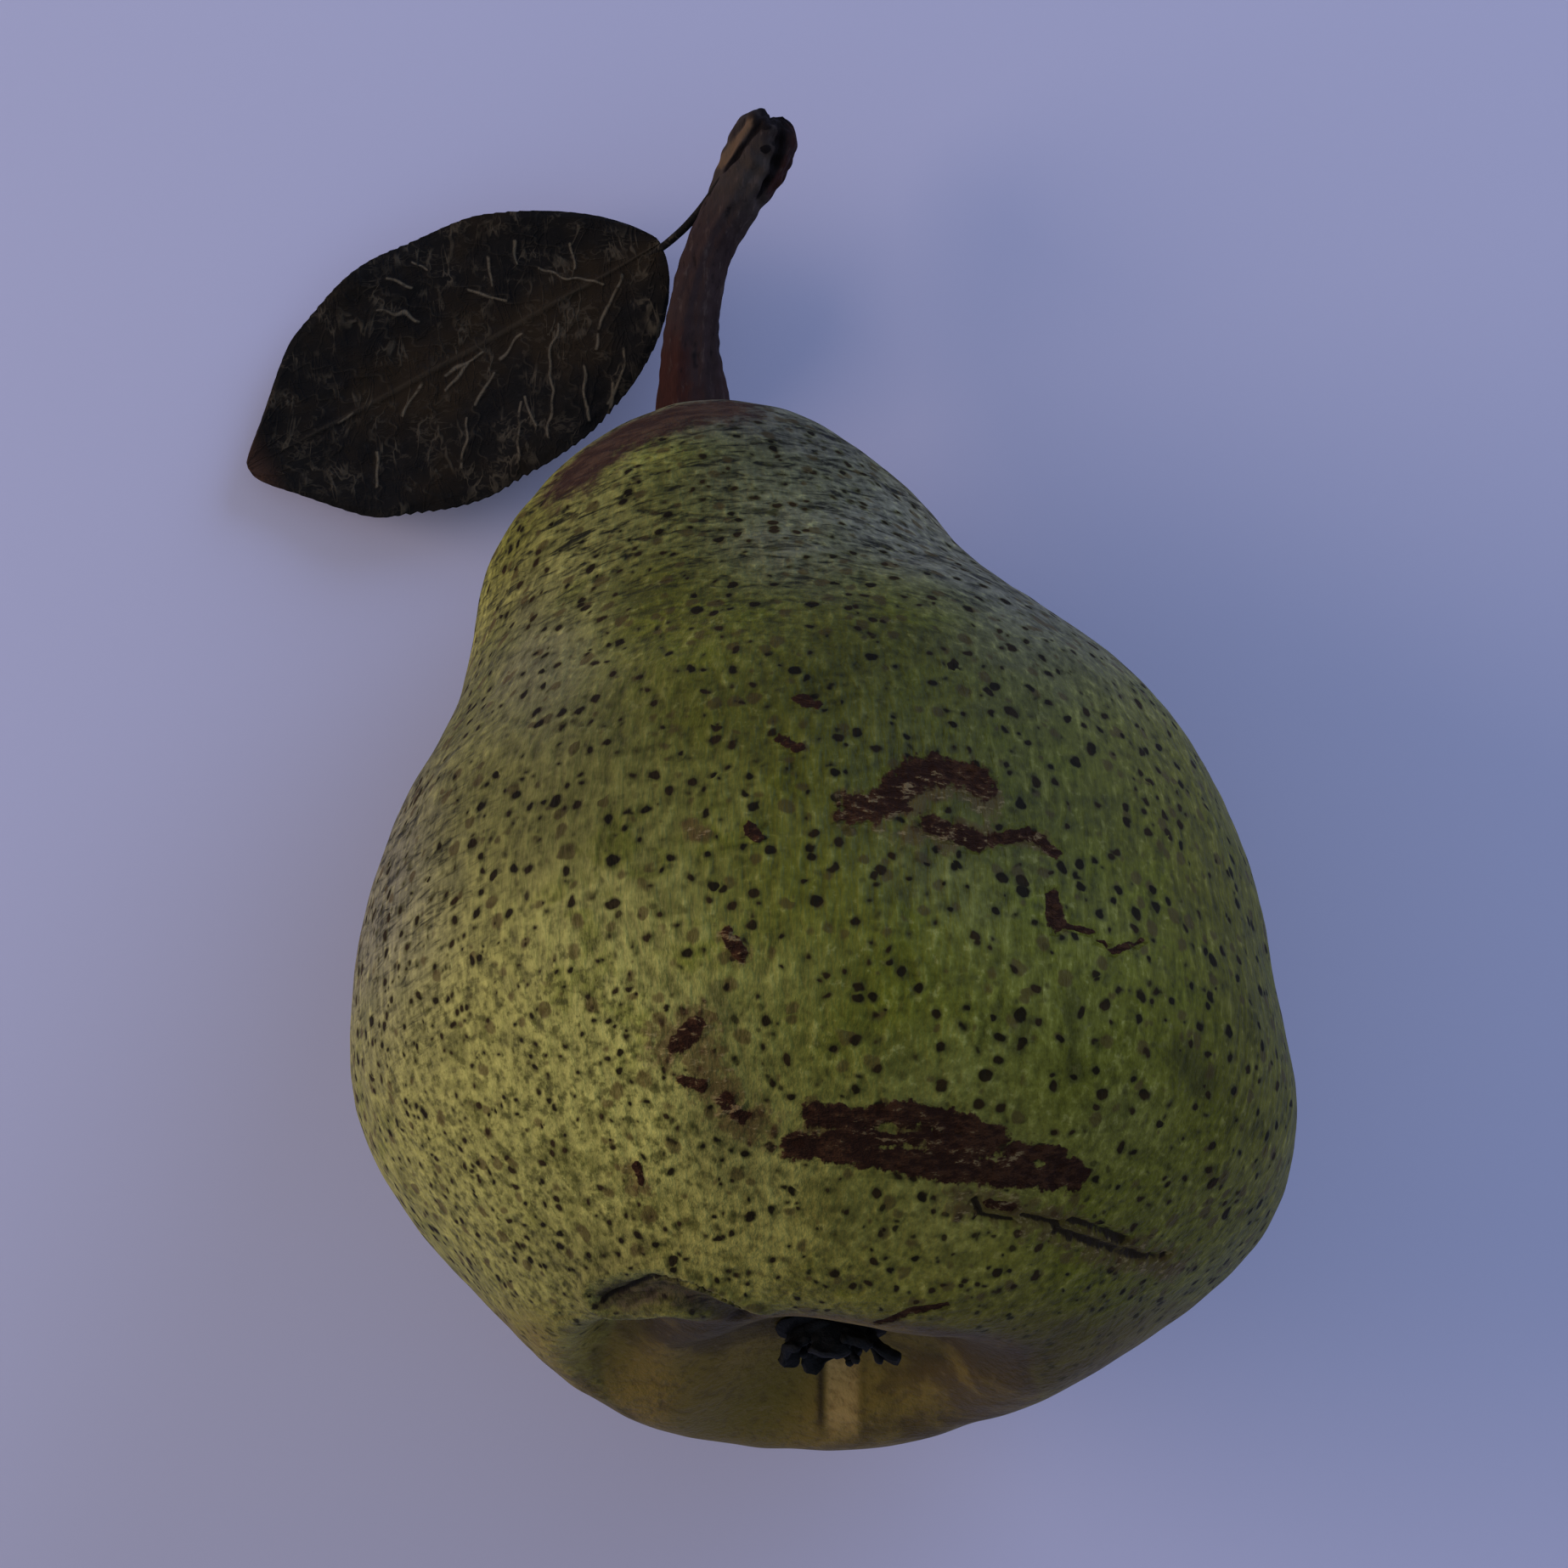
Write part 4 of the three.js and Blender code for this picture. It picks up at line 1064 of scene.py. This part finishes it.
class PearLook(bpy.types.PropertyGroup):
    """The pear's finishes."""

    green: tint("Green", "Unripe skin", (0.132, 0.128, 0.012))
    yellow: tint("Yellow", "Ripe skin", (0.325, 0.30, 0.080))
    lime: tint("Lime", "Brighter green patches", (0.165, 0.175, 0.010))
    brown_tint: tint("Brown tint", "Browner skin low down and on the right", (1.0, 0.84, 0.62))
    moss: tint("Moss", "Dark green mottling", (0.055, 0.054, 0.006))
    pale: tint("Pale", "Pale flecks and streaks", (0.29, 0.265, 0.085))
    # Grey of the shoulders and the left flank: partly waxy coat, partly painted sheen.
    bloom_and_sheen: tint("Bloom", "Grey bloom on the shoulders", (0.150, 0.138, 0.102))
    # Used for the bruises, and as painted shade in the grooves of the neck's wrinkles.
    wrinkle: tint("Wrinkle", "Bottom of the wrinkles", (0.024, 0.021, 0.006))
    rim: tint("Pore rim", "Olive ring round a pore", (0.060, 0.055, 0.010))
    pore: tint("Pore", "Dark pore", (0.009, 0.005, 0.001))
    pore_brown: tint("Brown pore", "Brown pore", (0.024, 0.012, 0.003))
    rust: tint("Spot", "Soft brown spot", (0.075, 0.048, 0.012))
    cork: tint("Cork", "Dark corky scar", (0.024, 0.0085, 0.004))
    cork_light: tint("Light cork", "Worn corky scar", (0.056, 0.022, 0.009))
    crack: tint("Crack", "Cracked skin", (0.015, 0.008, 0.004))
    russet: tint("Russet", "Brown russet", (0.082, 0.046, 0.014))
    tan: tint("Tan", "Tan flecks", (0.25, 0.17, 0.075))
    blush: tint("Blush", "Red-brown skin at the stem", (0.036, 0.016, 0.009))
    blush_light: tint("Light blush", "Paler red-brown skin", (0.070, 0.036, 0.019))
    # Dry puckered skin; the crack colour striped into it is partly painted shade in the dent.
    crease: tint("Crease", "Dry puckered skin at the rim", (0.060, 0.041, 0.024))
    basin: tint("Basin", "Skin in the basin", (0.195, 0.126, 0.024))
    # Also laid as a painted shadow under the crease.
    basin_dark: tint("Dark basin", "Darker skin in the basin", (0.090, 0.056, 0.014))
    basin_green: tint("Green basin", "Olive skin in the basin", (0.155, 0.108, 0.018))
    rib: tint("Rib", "Tan rib in the basin", (0.40, 0.255, 0.080))
    rib_shade: tint("Rib shade", "Darker streaks of the rib", (0.24, 0.145, 0.042))
    skin_roughness: amount("Roughness", "Roughness of the waxed skin", 0.42, max=1, subtype="FACTOR")
    skin_relief: amount("Skin relief", "Depth of the finest relief, in millimetres", 0.65)
    stem_foot: tint("Stem foot", "Bark at the foot", (0.034, 0.0115, 0.0085))
    stem_middle: tint("Stem middle", "Bark at the waist", (0.033, 0.019, 0.017))
    stem_end: tint("Stem end", "Bark at the swollen end", (0.044, 0.032, 0.026))
    stem_dark: tint("Stem dark", "Dark streaks", (0.011, 0.006, 0.006))
    stem_light: tint("Stem light", "Pale streaks", (0.10, 0.068, 0.055))
    stem_tan: tint("Stem strip", "Tan strip of bark", (0.12, 0.073, 0.042))
    stem_black: tint("Stem crack", "Cracks and broken wood", (0.006, 0.004, 0.004))
    leaf_dark: tint("Leaf dark", "Darkest leaf", (0.0070, 0.0065, 0.0068))
    leaf_brown: tint("Leaf brown", "Brown leaf", (0.018, 0.0125, 0.008))
    # Grey on the raised fine grain: partly dry coat, partly painted sheen.
    leaf_grey_and_sheen: tint("Leaf grey", "Dry bloom on the leaf", (0.016, 0.0145, 0.0145))
    leaf_tip: tint("Leaf tip", "Scorched tip", (0.07, 0.034, 0.024))
    vein: tint("Vein", "Tan veins", (0.105, 0.086, 0.062))
    calyx_black: tint("Calyx", "Dried sepals", (0.004, 0.004, 0.0045))
    calyx_brown: tint("Calyx worn", "Worn sepals", (0.016, 0.012, 0.011))
    floor: tint("Floor", "Pale floor", (0.62, 0.60, 0.80))
    floor_grain: tint("Floor grain", "Grain of the floor", (0.50, 0.50, 0.66))


class PearSizes(bpy.types.PropertyGroup):
    """How finely the surfaces are drawn, and how strong the light is."""

    fruit_rows: count("Fruit rings", "Rings from the basin to the stem end", 300, 20)
    fruit_columns: count("Fruit ring points", "Points on each ring", 320, 24)
    stem_rows: count("Stem rings", "Rings along the stem", 260, 20)
    stem_columns: count("Stem ring points", "Points on each ring", 128, 12)
    leaf_rows: count("Leaf rings", "Sections of the blade", 380, 84)
    leaf_columns: count("Leaf upper points", "Points across its upper face", 186, 12)
    leaf_under: count("Leaf lower points", "Points across its lower face", 60, 12)
    key_power: amount("Key light", "Power of the large soft light", 4.4, unit="POWER")
    fill_power: amount("Back light", "Power of the low light behind", 4.3, unit="POWER")
    sky_strength: amount("Sky", "Strength of the surrounding light", 0.36)


class PEAR_OT_fruit(bpy.types.Operator):
    """Makes the fruit with its skin"""

    bl_idname = "pear.fruit"
    bl_label = "Fruit"

    def execute(self, context):
        sizes = context.scene.pear_sizes
        rings, share, angle = fruit_rings(sizes.fruit_rows, sizes.fruit_columns)
        fields = fruit_fields(rings, share, angle)
        relief = fruit_relief(rings, fields) * smooth_step(0, 0.03, share * (1 - share))
        rings = rings + relief[..., None] * ring_normals(rings)
        rings[..., 2] = np.maximum(rings[..., 2], 0)
        fruit = put_mesh("pear_fruit", rings, fields)
        dress(fruit, skin_finish(context.scene.pear_look), "fruit")
        return {"FINISHED"}


class PEAR_OT_stem(bpy.types.Operator):
    """Makes the woody stem"""

    bl_idname = "pear.stem"
    bl_label = "Stem"

    def execute(self, context):
        sizes = context.scene.pear_sizes
        path = to_lying(np.array(STEM_PATH, float))
        rings, share, angle = path_rings(path, sizes.stem_rows, sizes.stem_columns, stem_radius, stem_lift)
        fields = stem_fields(share, angle, rings)
        rough = 0.07 * ripple(rings, 1.3, 71) + 0.13 * smooth_step(0.7, 0.85, share) * ripple(rings, 1.9, 72)
        rings = rings + rough[..., None] * ring_normals(rings)
        stem = put_mesh("pear_stem", rings, fields)
        dress(stem, stem_finish(context.scene.pear_look), "stem")
        return {"FINISHED"}


class PEAR_OT_leaf(bpy.types.Operator):
    """Makes the dry leaf and its stalk"""

    bl_idname = "pear.leaf"
    bl_label = "Leaf"

    def execute(self, context):
        sizes = context.scene.pear_sizes
        finish = leaf_finish(context.scene.pear_look)
        rings, fields = leaf_rings(sizes.leaf_rows, sizes.leaf_columns, sizes.leaf_under)
        blade = put_mesh("pear_leaf_blade", rings, fields)
        dress(blade, finish, "leaf")

        def radius(share, angle):
            return STALK_RADIUS * (1 - 0.35 * share) * np.sqrt(np.clip(1 - share**20, 0.02, 1))

        rings, share, _ = path_rings(np.array(STALK_PATH, float), *STALK_GRID, radius)
        fields = dict.fromkeys(fields, 0 * share)
        stalk = put_mesh("pear_leaf_stalk", rings, fields)
        dress(stalk, finish, "leaf")
        return {"FINISHED"}


class PEAR_OT_calyx(bpy.types.Operator):
    """Makes the dried calyx"""

    bl_idname = "pear.calyx"
    bl_label = "Calyx"

    def execute(self, context):
        parts = [put_mesh("calyx_disc", disc_rings(*DISC_GRID))]
        parts += [put_mesh("sepal", sepal_rings(sepal, *SEPAL_GRID)) for sepal in SEPALS]
        parts += [put_mesh("stamen", stamen_rings(index, *STAMEN_GRID)) for index in range(STAMEN_COUNT)]
        calyx = join_pieces("pear_calyx", parts)
        dress(calyx, calyx_finish(context.scene.pear_look), "calyx")
        return {"FINISHED"}


class PEAR_OT_stage(bpy.types.Operator):
    """Makes the floor, the lights and the camera"""

    bl_idname = "pear.stage"
    bl_label = "Stage"

    def execute(self, context):
        scene = context.scene
        sizes = scene.pear_sizes
        sides = ((-1, -1), (1, -1), (1, 1), (-1, 1))
        mesh = bpy.data.meshes.new("floor")
        mesh.from_pydata([(FLOOR_HALF * x, FLOOR_HALF * y, 0) for x, y in sides], [], [(0, 1, 2, 3)])
        floor = bpy.data.objects.new("floor", mesh)
        scene.collection.objects.link(floor)
        mesh.materials.append(floor_finish(scene.pear_look))
        floor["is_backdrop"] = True
        self.lamp("key_light", sizes.key_power, *KEY_LIGHT)
        self.lamp("back_light", sizes.fill_power, *BACK_LIGHT)
        self.sky(scene, sizes.sky_strength)
        self.camera(scene)
        scene.view_settings.view_transform = "Standard"
        return {"FINISHED"}

    def lamp(self, name, power, place, size, colour):
        """A round soft light that faces the pear."""
        light = bpy.data.lights.new(name, "AREA")
        light.shape = "DISK"
        light.size = size
        light.energy = power
        light.color = colour
        lamp = bpy.data.objects.new(name, light)
        lamp.location = place
        lamp.rotation_euler = (LIGHT_TARGET - Vector(place)).to_track_quat("-Z", "Y").to_euler()
        bpy.context.scene.collection.objects.link(lamp)

    def sky(self, scene, strength):
        """Bright near the horizon and dim overhead, as in a room with windows."""
        world = bpy.data.worlds.new("room")
        world.use_nodes = True
        tree = world.node_tree
        where = tree.nodes.new("ShaderNodeTexCoord")
        parts = tree.nodes.new("ShaderNodeSeparateXYZ")
        ramp = tree.nodes.new("ShaderNodeValToRGB")
        for element, (height, colour) in zip(ramp.color_ramp.elements, SKY_RAMP):
            element.position = height
            element.color = colour
        tree.links.new(where.outputs["Generated"], parts.inputs["Vector"])
        tree.links.new(parts.outputs["Z"], ramp.inputs["Fac"])
        background = tree.nodes["Background"]
        tree.links.new(ramp.outputs["Color"], background.inputs["Color"])
        background.inputs["Strength"].default_value = strength
        scene.world = world

    def camera(self, scene):
        """Looks at the target from above and a little from the calyx end."""
        data = bpy.data.cameras.new("camera")
        data.sensor_width = 36
        data.lens = data.sensor_width / 2 / math.tan(VIEW_ANGLE / 2)
        data.clip_start = 0.01
        camera = bpy.data.objects.new("camera", data)
        back = Vector((0, -math.cos(ELEVATION), math.sin(ELEVATION)))
        camera.location = (CAMERA_TARGET + back * CAMERA_DISTANCE) * MM
        camera.rotation_euler = (math.pi / 2 - ELEVATION, 0, 0)
        scene.collection.objects.link(camera)
        scene.camera = camera


class PEAR_PT_panel(bpy.types.Panel):
    """Lists the pear's pieces and finishes in the sidebar"""

    bl_label = "Pear"
    bl_idname = "PEAR_PT_panel"
    bl_space_type = "VIEW_3D"
    bl_region_type = "UI"
    bl_category = "Pear"

    def draw(self, context):
        layout = self.layout
        for operator in OPERATORS:
            layout.operator(operator.bl_idname)
        for group in (context.scene.pear_sizes, context.scene.pear_look):
            for name in group.__annotations__:
                layout.prop(group, name)


OPERATORS = (PEAR_OT_stage, PEAR_OT_fruit, PEAR_OT_stem, PEAR_OT_leaf, PEAR_OT_calyx)
CLASSES = (PearLook, PearSizes, *OPERATORS, PEAR_PT_panel)


def register():
    for kind in CLASSES:
        bpy.utils.register_class(kind)
    bpy.types.Scene.pear_look = PointerProperty(type=PearLook)
    bpy.types.Scene.pear_sizes = PointerProperty(type=PearSizes)


def unregister():
    del bpy.types.Scene.pear_sizes
    del bpy.types.Scene.pear_look
    for kind in reversed(CLASSES):
        bpy.utils.unregister_class(kind)


def make_pear():
    """Makes the stage and every piece, and works out how large the model came out."""
    register()
    bpy.ops.pear.stage()
    bpy.ops.pear.fruit()
    bpy.ops.pear.stem()
    bpy.ops.pear.leaf()
    bpy.ops.pear.calyx()
    boxes = {"cad": CAD_BOX, "visual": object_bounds()}
    boxes = {name: [list(corner) for corner in box] for name, box in boxes.items()}


if __name__ == "__main__":
    make_pear()
